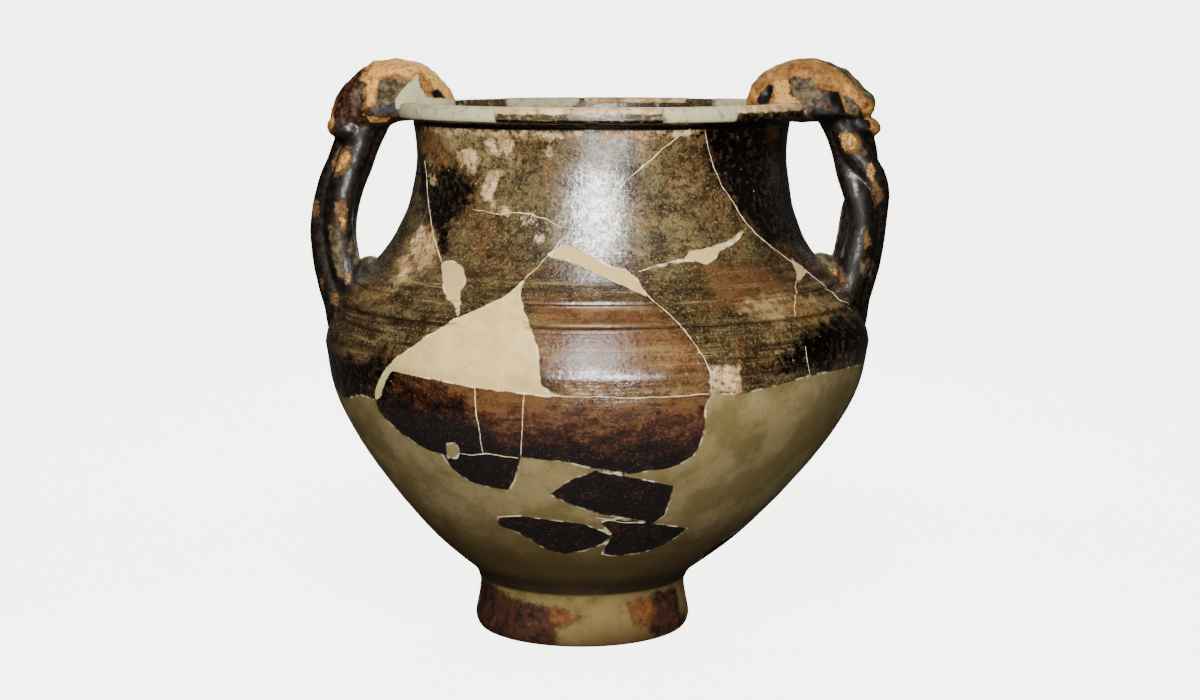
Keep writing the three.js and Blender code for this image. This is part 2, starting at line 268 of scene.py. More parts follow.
@dataclass
class Wall:
    """The thrown wall: its profile, its lean and its small unevenness."""

    foot_height: float = 18.0
    foot_edge_radius: float = 38.4
    foot_spread_radius: float = 41.0
    foot_waist_radius: float = 39.4
    foot_ring_width: float = 7.5
    foot_recess_depth: float = 9.0
    floor_thickness: float = 8.0
    belly_height: float = 92.5
    belly_radius: float = 102.6
    collar_height: float = 15.2
    collar_top_radius: float = 96.0
    ridge_height: float = 3.0
    ridge_proud: float = 1.3
    band_height: float = 5.0
    step_radius: float = 91.0
    step_depth: float = 1.5
    neck_height: float = 59.0
    neck_radius: float = 69.6
    lip_height: float = 6.4
    lip_radius: float = 76.4
    mouth_radius: float = 67.5
    thickness: float = 5.0
    foot_offset: float = -6.6
    belly_offset: float = -0.9
    neck_offset: float = 0.8
    centring: float = 0.052
    uneven_inset: float = 0.26
    swell: float = 0.16
    swell_size: float = 46.0
    pit: float = 0.05
    pit_size: float = 9.0
    grain: Grain = Grain(11)
    belly_curve: tuple = ((0, 0), (0.055, 0.04), (0.12, 0.155), (0.23, 0.338), (0.42, 0.585),
                          (0.62, 0.8), (0.81, 0.944), (1, 1))
    collar_curve: tuple = ((0, 0), (0.3, 0.13), (0.6, 0.45), (1, 1))
    neck_curve: tuple = ((0, 1), (0.12, 0.64), (0.23, 0.41), (0.34, 0.26), (0.48, 0.115),
                         (0.73, 0), (0.88, 0.012), (1, 0.055))
    outer: np.ndarray = field(init=False)
    closed: np.ndarray = field(init=False)
    arc: np.ndarray = field(init=False)

    def __post_init__(self) -> None:
        """Works out the levels and the profile from the sizes."""
        self.belly_level = self.foot_height + self.belly_height
        self.collar_level = self.belly_level + self.collar_height
        self.band_level = self.collar_level + self.ridge_height
        self.step_level = self.band_level + self.band_height
        self.neck_top = self.step_level + self.neck_height
        self.rim_level = self.neck_top + self.lip_height
        belly = self.free(self.belly_curve, self.foot_waist_radius, self.belly_radius,
                          self.foot_height, self.belly_height, 74)
        collar = self.free(self.collar_curve, self.belly_radius, self.collar_top_radius,
                           self.belly_level, self.collar_height, 11)
        neck = self.free(self.neck_curve, self.neck_radius, self.step_radius,
                         self.step_level, self.neck_height, 44)
        side = np.vstack([belly, collar[1:], self.ridge(), neck])
        self.outer = np.vstack([self.foot_side(), side, self.lip_side()])
        self.closed = np.vstack([self.foot_under(), self.outer, self.lip_top(),
                                 self.inside(belly, collar, neck)])
        steps = np.linalg.norm(np.diff(self.outer, axis=0), axis=1)
        self.arc = np.concatenate([[0], np.cumsum(steps)])

    @staticmethod
    def free(shares: tuple, start: float, end: float, level: float, height: float,
             count: int) -> np.ndarray:
        """Points [radius, level] along a free curve that is given in shares."""
        points = [(start + (end - start) * across, level + height * up) for up, across in shares]
        return curve_through(points, count)

    def foot_under(self) -> np.ndarray:
        """The hollow under the foot, from the middle out to the standing ring."""
        ring = self.foot_edge_radius - self.foot_ring_width
        depth = self.foot_recess_depth
        hollow = [(0, depth), (ring * 0.5, depth * 0.99), (ring * 0.84, depth * 0.92),
                  (ring * 0.95, depth * 0.55), (ring, 0.35), (ring + 0.6, 0)]
        flat = np.linspace(ring + 1.5, self.foot_edge_radius - 1, 5)
        return np.vstack([curve_through(hollow, 16), np.stack([flat, flat * 0], axis=1)])

    def foot_side(self) -> np.ndarray:
        """The foot's outer face, from the standing ring up to the waist."""
        spread = self.foot_spread_radius - self.foot_edge_radius
        waist = self.foot_spread_radius - self.foot_waist_radius
        points = [(self.foot_edge_radius, 0), (self.foot_edge_radius + spread * 0.35, 0.35),
                  (self.foot_edge_radius + spread * 0.7, self.foot_height * 0.08),
                  (self.foot_spread_radius, self.foot_height * 0.26),
                  (self.foot_spread_radius - waist * 0.5, self.foot_height * 0.56),
                  (self.foot_spread_radius - waist * 0.95, self.foot_height * 0.84),
                  (self.foot_waist_radius, self.foot_height)]
        return curve_through(points, 16)[:-1]

    def ridge(self) -> np.ndarray:
        """The raised ridge over the collar and the shallow band up to the step's sharp edge."""
        top, level = self.collar_top_radius, self.collar_level
        proud, rise, band = self.ridge_proud, self.ridge_height, self.band_level
        head = self.step_radius - self.step_depth * 0.4
        points = [(top + proud * 0.3, level + rise * 0.05), (top + proud * 0.75, level + rise * 0.15),
                  (top + proud, level + rise * 0.3), (top + proud * 0.9, level + rise * 0.5),
                  (top + proud * 0.5, level + rise * 0.72), (top - proud * 0.2, level + rise * 0.85),
                  (top - self.step_depth * 0.75, band), (top - self.step_depth * 1.15, band + 0.45)]
        rounded = curve_through(points, 9)
        low = rounded[-1]
        shares = np.array([0.3, 0.6, 0.85, 1])
        across = low[0] + (head - low[0]) * shares
        up = low[1] + (self.step_level - self.band_height * 0.2 - low[1]) * shares
        return np.vstack([rounded, np.stack([across, up], axis=1),
                          [[head + 0.15, self.step_level - 0.6], [head + 0.5, self.step_level - 0.25]]])

    def lip_side(self) -> np.ndarray:
        """The lip's rounded outer edge."""
        over = self.lip_radius - self.neck_radius
        low, high = self.neck_top, self.lip_height
        points = [(self.lip_radius - over * 0.72, low + high * 0.03),
                  (self.lip_radius - over * 0.3, low + high * 0.1),
                  (self.lip_radius - over * 0.06, low + high * 0.22),
                  (self.lip_radius, low + high * 0.42),
                  (self.lip_radius - over * 0.04, low + high * 0.72),
                  (self.lip_radius - over * 0.14, low + high * 0.93),
                  (self.lip_radius - over * 0.28, self.rim_level - 0.05)]
        return curve_through(points, 14)

    def lip_top(self) -> np.ndarray:
        """The lip's top, in over to the mouth."""
        over = self.lip_radius - self.neck_radius
        points = [(self.lip_radius - over * 0.42, self.rim_level),
                  (self.mouth_radius + over * 0.3, self.rim_level),
                  (self.mouth_radius + over * 0.08, self.rim_level - 0.4),
                  (self.mouth_radius, self.rim_level - self.lip_height * 0.25)]
        return curve_through(points, 7)

    def inside(self, belly: np.ndarray, collar: np.ndarray, neck: np.ndarray) -> np.ndarray:
        """The wall's inner face, from under the mouth down to the middle of the floor.

        Args:
            belly: Points of the belly's outer face.
            collar: Points of the collar's outer face.
            neck: Points of the neck's outer face.

        Returns:
            Points of the inner face, from the top down.
        """
        face = np.vstack([belly[::3], collar[2::4], neck[1::3]])
        along = unit(np.gradient(face, axis=0))
        face = face + np.stack([-along[:, 1], along[:, 0]], axis=1) * self.thickness
        floor = self.foot_recess_depth + self.floor_thickness
        room = face[face[:, 1] > floor + self.thickness][::-1]
        last = room[-1]
        shares = np.array([0.9, 0.8, 0.65, 0.5, 0.35, 0.2, 0.08, 0])
        bowl = np.stack([last[0] * shares, floor + (last[1] - floor) * shares**3], axis=1)
        return np.vstack([room, bowl])

    def lean(self, level: np.ndarray | float) -> np.ndarray:
        """How far the axis stands to one side at a level."""
        up = np.clip((np.asarray(level, float) - self.foot_height) / self.belly_height, 0, 1)
        belly = (self.belly_offset - self.foot_offset) * (1 - (1 - up) ** 1.6)
        turn = smoothstep(level, self.step_level, self.step_level + self.neck_height * 0.7)
        return self.foot_offset + belly + (self.neck_offset - self.belly_offset) * turn + self.centring

    def radius(self, level: np.ndarray | float) -> np.ndarray:
        """The outer radius at a level."""
        return np.interp(level, self.outer[:, 1], self.outer[:, 0])

    def run(self, level: np.ndarray | float) -> np.ndarray:
        """How far up the outer face a level is, along the clay."""
        return np.interp(level, self.outer[:, 1], self.arc)

    def level_at(self, run: np.ndarray) -> np.ndarray:
        """The level of a place that far up the outer face."""
        return np.interp(run, self.arc, self.outer[:, 1])

    def uneven(self, angle: np.ndarray, level: np.ndarray, radius: np.ndarray) -> np.ndarray:
        """How far the hand-thrown face lies in from the true profile, in millimetres.

        Args:
            angle: Angles round the vessel, in radians.
            level: Levels.
            radius: Radii there.

        Returns:
            Depths, never negative.
        """
        places = np.stack([radius * np.sin(angle), -radius * np.cos(angle), level], axis=1)
        slow = self.grain.at(places, self.swell_size) * self.swell
        pits = self.grain.at(places + 300, self.pit_size) * self.pit
        rings = np.sin(level * 1.35 + 2.2 * np.sin(angle + 0.6)) * 0.02
        rings = rings + np.sin(level * 0.55 + 1.3 * np.cos(angle)) * 0.03
        return np.clip(self.uneven_inset + slow + pits + rings, 0, 1) * smoothstep(level, 2, 12)

    def place(self, angle: np.ndarray, level: np.ndarray, proud: np.ndarray | float = 0) -> np.ndarray:
        """Points on the finished outer face.

        Args:
            angle: Angles round the vessel, in radians.
            level: Levels.
            proud: How far off the face, outwards.

        Returns:
            Points in millimetres.
        """
        radius = self.radius(level)
        radius = radius - self.uneven(angle, level, radius)
        rise = np.gradient(self.outer[:, 1])
        reach = np.gradient(self.outer[:, 0])
        size = np.hypot(rise, reach)
        out = np.interp(level, self.outer[:, 1], rise / size)
        up = -np.interp(level, self.outer[:, 1], reach / size)
        radius = radius + proud * out
        level = level + proud * up
        across = radius * np.sin(angle) + self.lean(level)
        return np.stack([across, -radius * np.cos(angle), level], axis=1)


@dataclass
class Sight:
    """The photograph's viewpoint: from a pixel of its 1200 by 700 frame to a place on the vessel."""

    wall: Wall
    focal: float = 2200.0
    middle: tuple = (600.0, 350.0)
    pitch: float = math.radians(8)
    distance: float = 836.0
    aim: tuple = (0.25, 0.0, 105.4)
    sensor: float = 36.0
    frame_width: float = 1200.0
    search_before: float = 125.0
    search_after: float = 60.0
    search_steps: int = 1500

    def __post_init__(self) -> None:
        """Works out where the viewpoint is and the way it looks."""
        self.ahead = np.array([0, math.cos(self.pitch), -math.sin(self.pitch)])
        self.right = np.array([1.0, 0, 0])
        self.up = np.cross(self.right, self.ahead)
        self.eye = np.array(self.aim) - self.ahead * self.distance

    def ways(self, pixels: np.ndarray) -> np.ndarray:
        """Directions from the viewpoint through pixels."""
        across = (pixels[:, :1] - self.middle[0]) / self.focal
        down = (pixels[:, 1:2] - self.middle[1]) / self.focal
        way = self.ahead + across * self.right - down * self.up
        return unit(way)

    def on_wall(self, pixels: np.ndarray) -> tuple[np.ndarray, np.ndarray]:
        """Where pixels fall on the turned wall.

        Args:
            pixels: Picture points. One that misses the wall takes the nearest place on its edge.

        Returns:
            Angles in radians, and lengths up the outer face.
        """
        steps = np.linspace(self.distance - self.search_before, self.distance + self.search_after,
                            self.search_steps)
        angles, runs = [], []
        for way in self.ways(np.asarray(pixels, float)):
            path = self.eye + steps[:, None] * way
            x = path[:, 0] - self.wall.lean(path[:, 2])
            gap = np.hypot(x, path[:, 1]) - self.wall.radius(path[:, 2])
            gap = np.where((path[:, 2] < 0) | (path[:, 2] > self.wall.rim_level), 99, gap)
            inside = np.nonzero(gap < 0)[0]
            at = inside[0] if len(inside) else int(np.argmin(gap))
            angles.append(math.atan2(x[at], -path[at, 1]))
            runs.append(float(self.wall.run(path[at, 2])))
        return np.array(angles), np.array(runs)

    def on_piece(self, tree: BVHTree, pixel: tuple) -> np.ndarray | None:
        """Where one pixel falls on a piece, in millimetres, or None where it misses."""
        way = self.ways(np.array([pixel], float))[0]
        hit = tree.ray_cast(Vector(self.eye * MM), Vector(way))[0]
        return None if hit is None else np.array(hit) / MM

    def camera(self) -> None:
        """Puts the scene's camera at the viewpoint."""
        lens = bpy.data.cameras.new("viewpoint")
        lens.sensor_width = self.sensor
        lens.lens = self.focal * self.sensor / self.frame_width
        made = linked("viewpoint", lens)
        made.location = self.eye * MM
        made.rotation_euler = (math.pi / 2 - self.pitch, 0, 0)
        bpy.context.scene.camera = made


@dataclass(frozen=True)
class Outline:
    """A closed edge on the wall, in angle and length up the outer face."""

    angle: np.ndarray
    run: np.ndarray

    @classmethod
    def seen(cls, sight: Sight, pixels: list) -> "Outline":
        """An outline from picture points, with straight sides in the picture."""
        angle, run = sight.on_wall(cls.dense(pixels + pixels[:1])[:-1])
        return cls(angle, run)

    @classmethod
    def hidden(cls, wall: Wall, corners: list) -> "Outline":
        """An outline from corners in degrees round the vessel and millimetres of height."""
        points = cls.dense(corners + corners[:1])[:-1]
        return cls(np.radians(points[:, 0]), wall.run(points[:, 1]))

    @staticmethod
    def dense(points: list, step: float = 7.0) -> np.ndarray:
        """Points added along straight sides, no further apart than the step."""
        rows = []
        for a, b in zip(points, points[1:]):
            a, b = np.array(a, float), np.array(b, float)
            count = max(int(np.linalg.norm(b - a) / step), 1)
            rows.extend(a + (b - a) * k / count for k in range(count))
        rows.append(np.array(points[-1], float))
        return np.array(rows)

    def distance(self, angle: np.ndarray, run: np.ndarray, radius: np.ndarray) -> np.ndarray:
        """Signed distance in millimetres to the outline, positive inside it.

        Args:
            angle: Angles of the places, in radians.
            run: Their lengths up the outer face.
            radius: Their radii.

        Returns:
            One distance for each place.
        """
        best = np.full(len(angle), 1e9)
        inside = np.zeros(len(angle), bool)
        ends = np.roll(self.angle, -1), np.roll(self.run, -1)
        for a0, r0, a1, r1 in zip(self.angle, self.run, *ends):
            da, dr = a1 - a0, r1 - r0
            along = (da * radius) ** 2 + dr**2
            x, y = (angle - a0) * radius, run - r0
            t = np.clip((x * da * radius + y * dr) / np.maximum(along, 1e-9), 0, 1)
            best = np.minimum(best, (x - t * da * radius) ** 2 + (y - t * dr) ** 2)
            crosses = (r0 > run) != (r1 > run)
            if abs(dr) > 1e-9:
                inside ^= crosses & (angle < a0 + (run - r0) / dr * da)
        return np.where(inside, 1, -1) * np.sqrt(best)


def widest(outlines: list, spots: tuple) -> np.ndarray:
    """Signed distance to several outlines taken together."""
    far = np.full(len(spots[0]), -60.0)
    for outline in outlines:
        far = np.maximum(far, outline.distance(*spots))
    return far


# Picture points, read off the photograph's 1200 by 700 frame.
NECK_FILL = [(547, 255), (565, 244), (578, 249), (593, 257), (609, 266), (627, 270), (637, 279),
             (648, 297), (640, 293), (624, 286), (604, 276), (585, 268), (567, 260), (556, 259)]
RIGHT_FILL = [(640, 272), (665, 263), (684, 259), (691, 251), (704, 249), (716, 246), (727, 243),
              (738, 235), (749, 226), (740, 238), (730, 246), (721, 250), (715, 259), (707, 264),
              (696, 261), (684, 261), (665, 266)]
SMALL_FILL = [(441, 262), (452, 261), (463, 267), (465, 282), (460, 292), (458, 317), (454, 306),
              (446, 296), (443, 288)]
SHOULDER_FILL = [(524, 280), (512, 291), (499, 300), (478, 309), (457, 318), (427, 336), (397, 357),
                 (387, 367), (379, 380), (374, 392), (375, 400), (380, 396), (385, 381), (391, 371),
                 (397, 372), (414, 376), (438, 380), (470, 387), (500, 391), (527, 394), (566, 399),
                 (566, 396), (552, 394), (541, 385), (539, 366), (537, 347), (529, 325), (523, 309),
                 (519, 295)]
SLANT_FILL = [(792, 258), (798, 263), (804, 267), (807, 272), (802, 279), (798, 282), (797, 272),
              (794, 265)]
LOWER_EDGE = [(344, 398), (361, 395), (375, 400), (378, 410), (385, 419), (399, 432), (415, 443),
              (430, 451), (443, 455), (447, 463), (457, 474), (471, 482), (488, 487), (509, 490),
              (515, 480), (518, 468), (520, 457), (545, 460), (570, 463), (584, 467), (600, 469),
              (615, 472), (631, 474), (650, 471), (666, 469), (681, 464), (694, 456), (700, 445),
              (704, 434), (705, 420), (706, 405), (711, 394), (741, 394), (775, 386), (809, 376),
              (838, 370), (869, 363)]
LOWER_EDGE_BEHIND = [(104, 105), (128, 96), (141, 80), (168, 72), (196, 78), (214, 92), (232, 89),
                     (251, 101)]
NOTCH = [(445, 444), (456, 443), (459, 452), (456, 459), (447, 457)]
SHERDS = [
    [(549, 495), (570, 480), (595, 471), (612, 474), (631, 477), (674, 486), (672, 495), (665, 516),
     (652, 523), (640, 521), (624, 518), (599, 514), (575, 506)],
    [(497, 517), (520, 516), (549, 520), (584, 524), (602, 531), (612, 536), (603, 544), (584, 551),
     (563, 554), (545, 549), (531, 540), (513, 530), (499, 526)],
    [(600, 521), (620, 520), (641, 523), (664, 525), (688, 528), (676, 538), (663, 545), (648, 551),
     (634, 554), (612, 556), (602, 554), (607, 543), (613, 536), (606, 529)],
    [(704, 554), (714, 547), (728, 537), (741, 529), (750, 524), (757, 515), (768, 507), (778, 497),
     (790, 483), (802, 488), (778, 514), (756, 532), (730, 552), (708, 566), (696, 566)],
]
FOOT_SLIP = [
    [(478, 574), (487, 581), (496, 587), (508, 596), (524, 603), (543, 605), (560, 609), (582, 617),
     (572, 624), (556, 629), (558, 640), (550, 650), (520, 645), (497, 636), (480, 624), (476, 612),
     (480, 600)],
    [(628, 604), (636, 600), (650, 596), (658, 591), (668, 589), (677, 586), (679, 600), (681, 612),
     (685, 622), (672, 631), (655, 638), (648, 632), (640, 625), (631, 620)],
]
RUST_SPOTS = [
    [(627, 604), (639, 600), (652, 598), (655, 611), (650, 624), (641, 624), (630, 618)],
    [(546, 608), (560, 610), (580, 617), (566, 625), (550, 622)],
]
BLACK_SLIP = [
    [(420, 152), (438, 150), (446, 164), (462, 172), (474, 190), (468, 206), (454, 214), (450, 234),
     (446, 258), (436, 252), (428, 224), (421, 196)],
    [(704, 132), (760, 128), (800, 132), (806, 250), (770, 240), (742, 214), (722, 186), (709, 154)],
    [(726, 115), (760, 111), (790, 107), (806, 104), (814, 112), (814, 130), (726, 130)],
    [(330, 356), (372, 358), (400, 358), (378, 382), (368, 398), (346, 398), (336, 376)],
    [(800, 338), (840, 318), (866, 322), (868, 352), (820, 368), (780, 376), (770, 366)],
    [(372, 402), (388, 366), (420, 372), (450, 384), (462, 402), (472, 424), (500, 452), (457, 474),
     (430, 450), (400, 430)],
]
RED_SLIP = [
    [(538, 300), (640, 300), (700, 352), (712, 392), (560, 394), (542, 372)],
    [(330, 350), (372, 352), (396, 356), (374, 392), (346, 396)],
    [(700, 262), (760, 262), (790, 290), (780, 306), (716, 306)],
]
WORN_SLIP_AND_SHEEN = [
    [(486, 142), (494, 140), (499, 150), (495, 156), (488, 152)],
    [(504, 141), (511, 141), (513, 154), (507, 157), (503, 149)],
    [(486, 168), (499, 167), (501, 175), (496, 186), (494, 196), (487, 200), (482, 192), (485, 180)],
    [(488, 202), (494, 203), (491, 208)],
    [(501, 207), (507, 206), (508, 213), (502, 214)],
    [(525, 219), (530, 218), (531, 225), (526, 226)],
    [(536, 235), (543, 236), (542, 241), (537, 240)],
    [(546, 148), (550, 147), (551, 156), (547, 157)],
    [(455, 152), (472, 150), (480, 158), (474, 170), (462, 166)],
    [(428, 176), (436, 173), (437, 183), (430, 185)],
    [(410, 244), (420, 226), (432, 232), (436, 250), (430, 262), (418, 268), (411, 258)],
    [(396, 272), (401, 258), (408, 256), (411, 270), (406, 280), (398, 282)],
    [(420, 126), (480, 128), (560, 129), (640, 129), (700, 128), (700, 133), (640, 135), (560, 135),
     (480, 135), (440, 134)],
    # Partly a paler sherd, partly a painted sheen: the pale patch by the belly's edge.
    [(713, 367), (741, 366), (741, 393), (712, 393)],
]
TAN_SLIP_AND_SHEEN = [
    [(352, 296), (372, 286), (396, 288), (404, 294), (380, 298), (360, 302)],
    [(420, 126), (452, 130), (462, 140), (450, 152), (452, 166), (436, 172), (424, 166), (419, 150)],
    [(404, 240), (424, 224), (438, 236), (438, 262), (420, 274), (404, 286), (388, 290), (392, 270)],
    [(744, 300), (790, 294), (830, 298), (846, 308), (820, 322), (770, 322), (740, 314)],
    [(452, 134), (520, 132), (640, 134), (690, 132), (690, 137), (640, 139), (520, 139), (470, 142)],
    # Partly wear, partly a painted sheen: the pale strip along the belly's edge.
    [(570, 388), (640, 389), (706, 386), (711, 393), (640, 396), (568, 397)],
]
RIGHT_CRACK = [(707, 142), (710, 154), (714, 167), (719, 178), (725, 189), (733, 201), (741, 214),
               (749, 225), (757, 234), (767, 243), (778, 251), (790, 260)]
UMBER_SHERDS = [
    [(705, 128), *RIGHT_CRACK, (802, 268), (818, 280), (850, 290), (850, 250), (820, 200), (815, 128)],
]
JOINS = [
    [(691, 129), (676, 139), (664, 148), (651, 159), (641, 168), (631, 176), (619, 188), (608, 198),
     (594, 209), (583, 219), (573, 230)],
    [(705, 130), *RIGHT_CRACK, (800, 268)],
    [(472, 209), (484, 211), (497, 214), (514, 213), (530, 214), (545, 219), (558, 226), (566, 228),
     (574, 230)],
    [(424, 160), (426, 178), (427, 197), (429, 211), (431, 225), (435, 241), (441, 262)],
    [(573, 230), (562, 240), (550, 253), (538, 266), (524, 280)],
    [(643, 290), (656, 303), (672, 317), (685, 331), (695, 344), (704, 358), (711, 373), (712, 394)],
    [(797, 280), (796, 298), (795, 316)],
    [(806, 346), (808, 362), (811, 377)],
    [(474, 386), (475, 400), (476, 416), (479, 434), (482, 453)],
    [(524, 395), (522, 425), (520, 456)],
    [(458, 453), (472, 455), (488, 454), (503, 457), (518, 458)],
    [(541, 395), (580, 397), (620, 398), (660, 397), (711, 394)],
    [(638, 272), (650, 268), (662, 264), (676, 261)],
    [(806, 270), (818, 280), (833, 292), (842, 301), (852, 310)],
    [(596, 517), (620, 522), (644, 523)],
]
JOIN_BEHIND = [
    [(96, 196), (101, 176), (98, 158), (108, 140), (112, 124), (104, 106)],
    [(98, 160), (124, 157), (150, 163), (171, 150), (196, 154), (222, 146), (246, 158), (262, 152)],
    [(171, 150), (176, 134), (166, 118), (172, 100), (166, 74)],
    [(222, 146), (229, 126), (221, 108), (214, 94)],
    [(150, 163), (158, 180), (154, 194)],
]
BACK_FILLS = [
    [(126, 151), (133, 155), (141, 156), (146, 161), (155, 157), (161, 151), (170, 148), (165, 142),
     (158, 138), (151, 140), (144, 136), (137, 141), (131, 145)],
    [(213, 105), (219, 110), (222, 119), (229, 116), (237, 118), (242, 109), (239, 98), (233, 93),
     (225, 90), (219, 96)],
]
BACK_SHERDS = [
    [(149, 61), (157, 66), (167, 66), (176, 63), (188, 66), (193, 57), (188, 50), (181, 47),
     (173, 41), (164, 45), (155, 45), (152, 53)],
    [(205, 67), (213, 70), (222, 76), (229, 70), (238, 66), (234, 58), (228, 50), (219, 53),
     (210, 48), (207, 58)],
    [(108, 86), (117, 84), (124, 90), (133, 82), (131, 72), (124, 66), (120, 58), (111, 63),
     (107, 74)],
]
BACK_BLACK = [
    [(118, 190), (132, 192), (150, 190), (158, 180), (172, 170), (164, 152), (166, 138), (152, 126),
     (138, 130), (120, 124), (112, 150)],
    [(226, 186), (242, 190), (258, 186), (264, 160), (256, 138), (244, 132), (236, 124), (228, 140),
     (218, 156), (228, 170)],
]
BACK_WORN = [
    [(184, 190), (196, 191), (205, 187), (209, 178), (202, 170), (196, 166), (190, 172), (182, 180)],
    [(133, 130), (146, 132), (158, 129), (160, 122), (148, 117), (136, 119)],
]
BACK_TAN = [
    [(176, 191), (192, 193), (214, 190), (218, 174), (206, 160), (196, 152), (186, 164), (174, 176)],
    [(128, 132), (146, 136), (166, 132), (170, 122), (150, 112), (132, 116)],
    [(240, 124), (254, 128), (262, 118), (250, 110)],
]


class Nodes:
    """A short hand for building one material's nodes."""

    def __init__(self, name: str) -> None:
        """Starts a material with one main shader."""
        self.material = bpy.data.materials.new(name)
        self.material.use_nodes = True
        self.tree = self.material.node_tree
        self.tree.nodes.clear()
        self.shader = self.tree.nodes.new("ShaderNodeBsdfPrincipled")
        end = self.tree.nodes.new("ShaderNodeOutputMaterial")
        self.tree.links.new(self.shader.outputs[0], end.inputs["Surface"])
        self.place = self.tree.nodes.new("ShaderNodeNewGeometry").outputs["Position"]

    def put(self, socket: Socket, value: object) -> None:
        """Links or sets a socket."""
        if isinstance(value, Socket):
            self.tree.links.new(value, socket)
        elif isinstance(value, Colour):
            socket.default_value = value.linear()
        else:
            socket.default_value = value

    def patch(self, patch: Patch) -> Socket:
        """A patch's stored number."""
        node = self.tree.nodes.new("ShaderNodeAttribute")
        node.attribute_name = patch.value
        return node.outputs["Fac"]

    def maths(self, kind: str, first: object, second: object = 0.0) -> Socket:
        """One sum of two numbers."""
        node = self.tree.nodes.new("ShaderNodeMath")
        node.operation = kind
        self.put(node.inputs[0], first)
        self.put(node.inputs[1], second)
        return node.outputs[0]

    def times(self, *numbers: object) -> Socket:
        """The product of several numbers."""
        return reduce(lambda first, second: self.maths("MULTIPLY", first, second), numbers)

    def most(self, *numbers: object) -> Socket:
        """The largest of several numbers."""
        return reduce(lambda first, second: self.maths("MAXIMUM", first, second), numbers)

    def plus(self, first: object, second: object) -> Socket:
        """The first number and the second."""
        return self.maths("ADD", first, second)

    def less(self, first: object, second: object) -> Socket:
        """The first number without the second."""
        return self.maths("SUBTRACT", first, second)

    def stretched(self, shares: tuple) -> Socket:
        """The place in space, drawn out along some axes."""
        node = self.tree.nodes.new("ShaderNodeMapping")
        self.put(node.inputs["Vector"], self.place)
        node.inputs["Scale"].default_value = shares
        return node.outputs[0]

    def level(self, low: float, high: float) -> Socket:
        """A soft step from 0 to 1 between two heights in millimetres."""
        node = self.tree.nodes.new("ShaderNodeSeparateXYZ")
        self.put(node.inputs[0], self.place)
        return self.step(self.maths("MULTIPLY", node.outputs["Z"], 1 / MM), low, high)

    def noise(self, size: float, detail: float = 3.0, rough: float = 0.55,
              shares: tuple = (1, 1, 1), bend: float = 0.0) -> Socket:
        """Noise from 0 to 1.

        Args:
            size: How large its swellings are, in millimetres.
            detail: How many finer layers it has.
            rough: How strong the finer layers are.
            shares: How its pattern is squeezed along each axis.
            bend: How far it is swirled.

        Returns:
            The noise's socket.
        """
        node = self.tree.nodes.new("ShaderNodeTexNoise")
        self.put(node.inputs["Vector"], self.stretched(shares))
        node.inputs["Scale"].default_value = 1 / (size * MM)
        node.inputs["Detail"].default_value = detail
        node.inputs["Roughness"].default_value = rough
        node.inputs["Distortion"].default_value = bend
        return node.outputs["Fac"]

    def step(self, value: object, low: float, high: float, start: float = 0.0,
             end: float = 1.0) -> Socket:
        """A soft step of a number, from low to high."""
        node = self.tree.nodes.new("ShaderNodeMapRange")
        node.interpolation_type = "SMOOTHSTEP"
        self.put(node.inputs["Value"], value)
        node.inputs["From Min"].default_value = low
        node.inputs["From Max"].default_value = high
        node.inputs["To Min"].default_value = start
        node.inputs["To Max"].default_value = end
        return node.outputs["Result"]

    def edge(self, patch: Patch, width: float, rough: Socket, reach: float,
             shift: float = 0.0) -> Socket:
        """How much of a patch covers a place, with an uneven edge.

        Args:
            patch: The patch.
            width: How soft its edge is, in millimetres.
            rough: Noise, 0 to 1, that moves the edge.
            reach: How far the noise moves it.
            shift: How far the whole edge is moved in.

        Returns:
            The share, 0 to 1.
        """
        moved = self.maths("MULTIPLY_ADD", rough, reach * 2)
        moved.node.inputs[2].default_value = -reach - shift
        return self.step(self.maths("ADD", self.patch(patch), moved), -width, width)

    def blend(self, share: object, first: object, second: object) -> Socket:
        """A mix of two colours."""
        node = self.tree.nodes.new("ShaderNodeMix")
        node.data_type = "RGBA"
        self.put(node.inputs["Factor"], share)
        self.put(node.inputs[6], first)
        self.put(node.inputs[7], second)
        return node.outputs[2]

    def layered(self, base: object, *layers: tuple) -> Socket:
        """A base colour with others laid over it in turn, each by its share."""
        for share, colour in layers:
            base = self.blend(share, base, colour)
        return base

    def coat(self, weight: Socket, rough: float, bend: float) -> None:
        """Lays a clear gloss over the shader."""
        self.put(self.shader.inputs["Coat Weight"], weight)
        self.shader.inputs["Coat Roughness"].default_value = rough
        self.shader.inputs["Coat IOR"].default_value = bend

    def between(self, share: object, first: object, second: object) -> Socket:
        """A mix of two numbers."""
        node = self.tree.nodes.new("ShaderNodeMix")
        self.put(node.inputs["Factor"], share)
        self.put(node.inputs[2], first)
        self.put(node.inputs[3], second)
        return node.outputs[0]

    def finish(self, colour: object, rough: object, height: object, depth: float) -> bpy.types.Material:
        """Joins colour, roughness and height to the shader.

        Args:
            colour: The surface's colour.
            rough: Its roughness.
            height: Its relief, 0 to 1.
            depth: How deep the relief is, in millimetres.

        Returns:
            The finished material.
        """
        bump = self.tree.nodes.new("ShaderNodeBump")
        bump.inputs["Distance"].default_value = depth * MM
        bump.inputs["Strength"].default_value = 1.0
        self.put(bump.inputs["Height"], height)
        self.put(self.shader.inputs["Base Color"], colour)
        self.put(self.shader.inputs["Roughness"], rough)
        self.put(self.shader.inputs["Normal"], bump.outputs["Normal"])
        self.put(self.shader.inputs["Coat Normal"], bump.outputs["Normal"])
        self.shader.inputs["Specular IOR Level"].default_value = 0.2
        return self.material


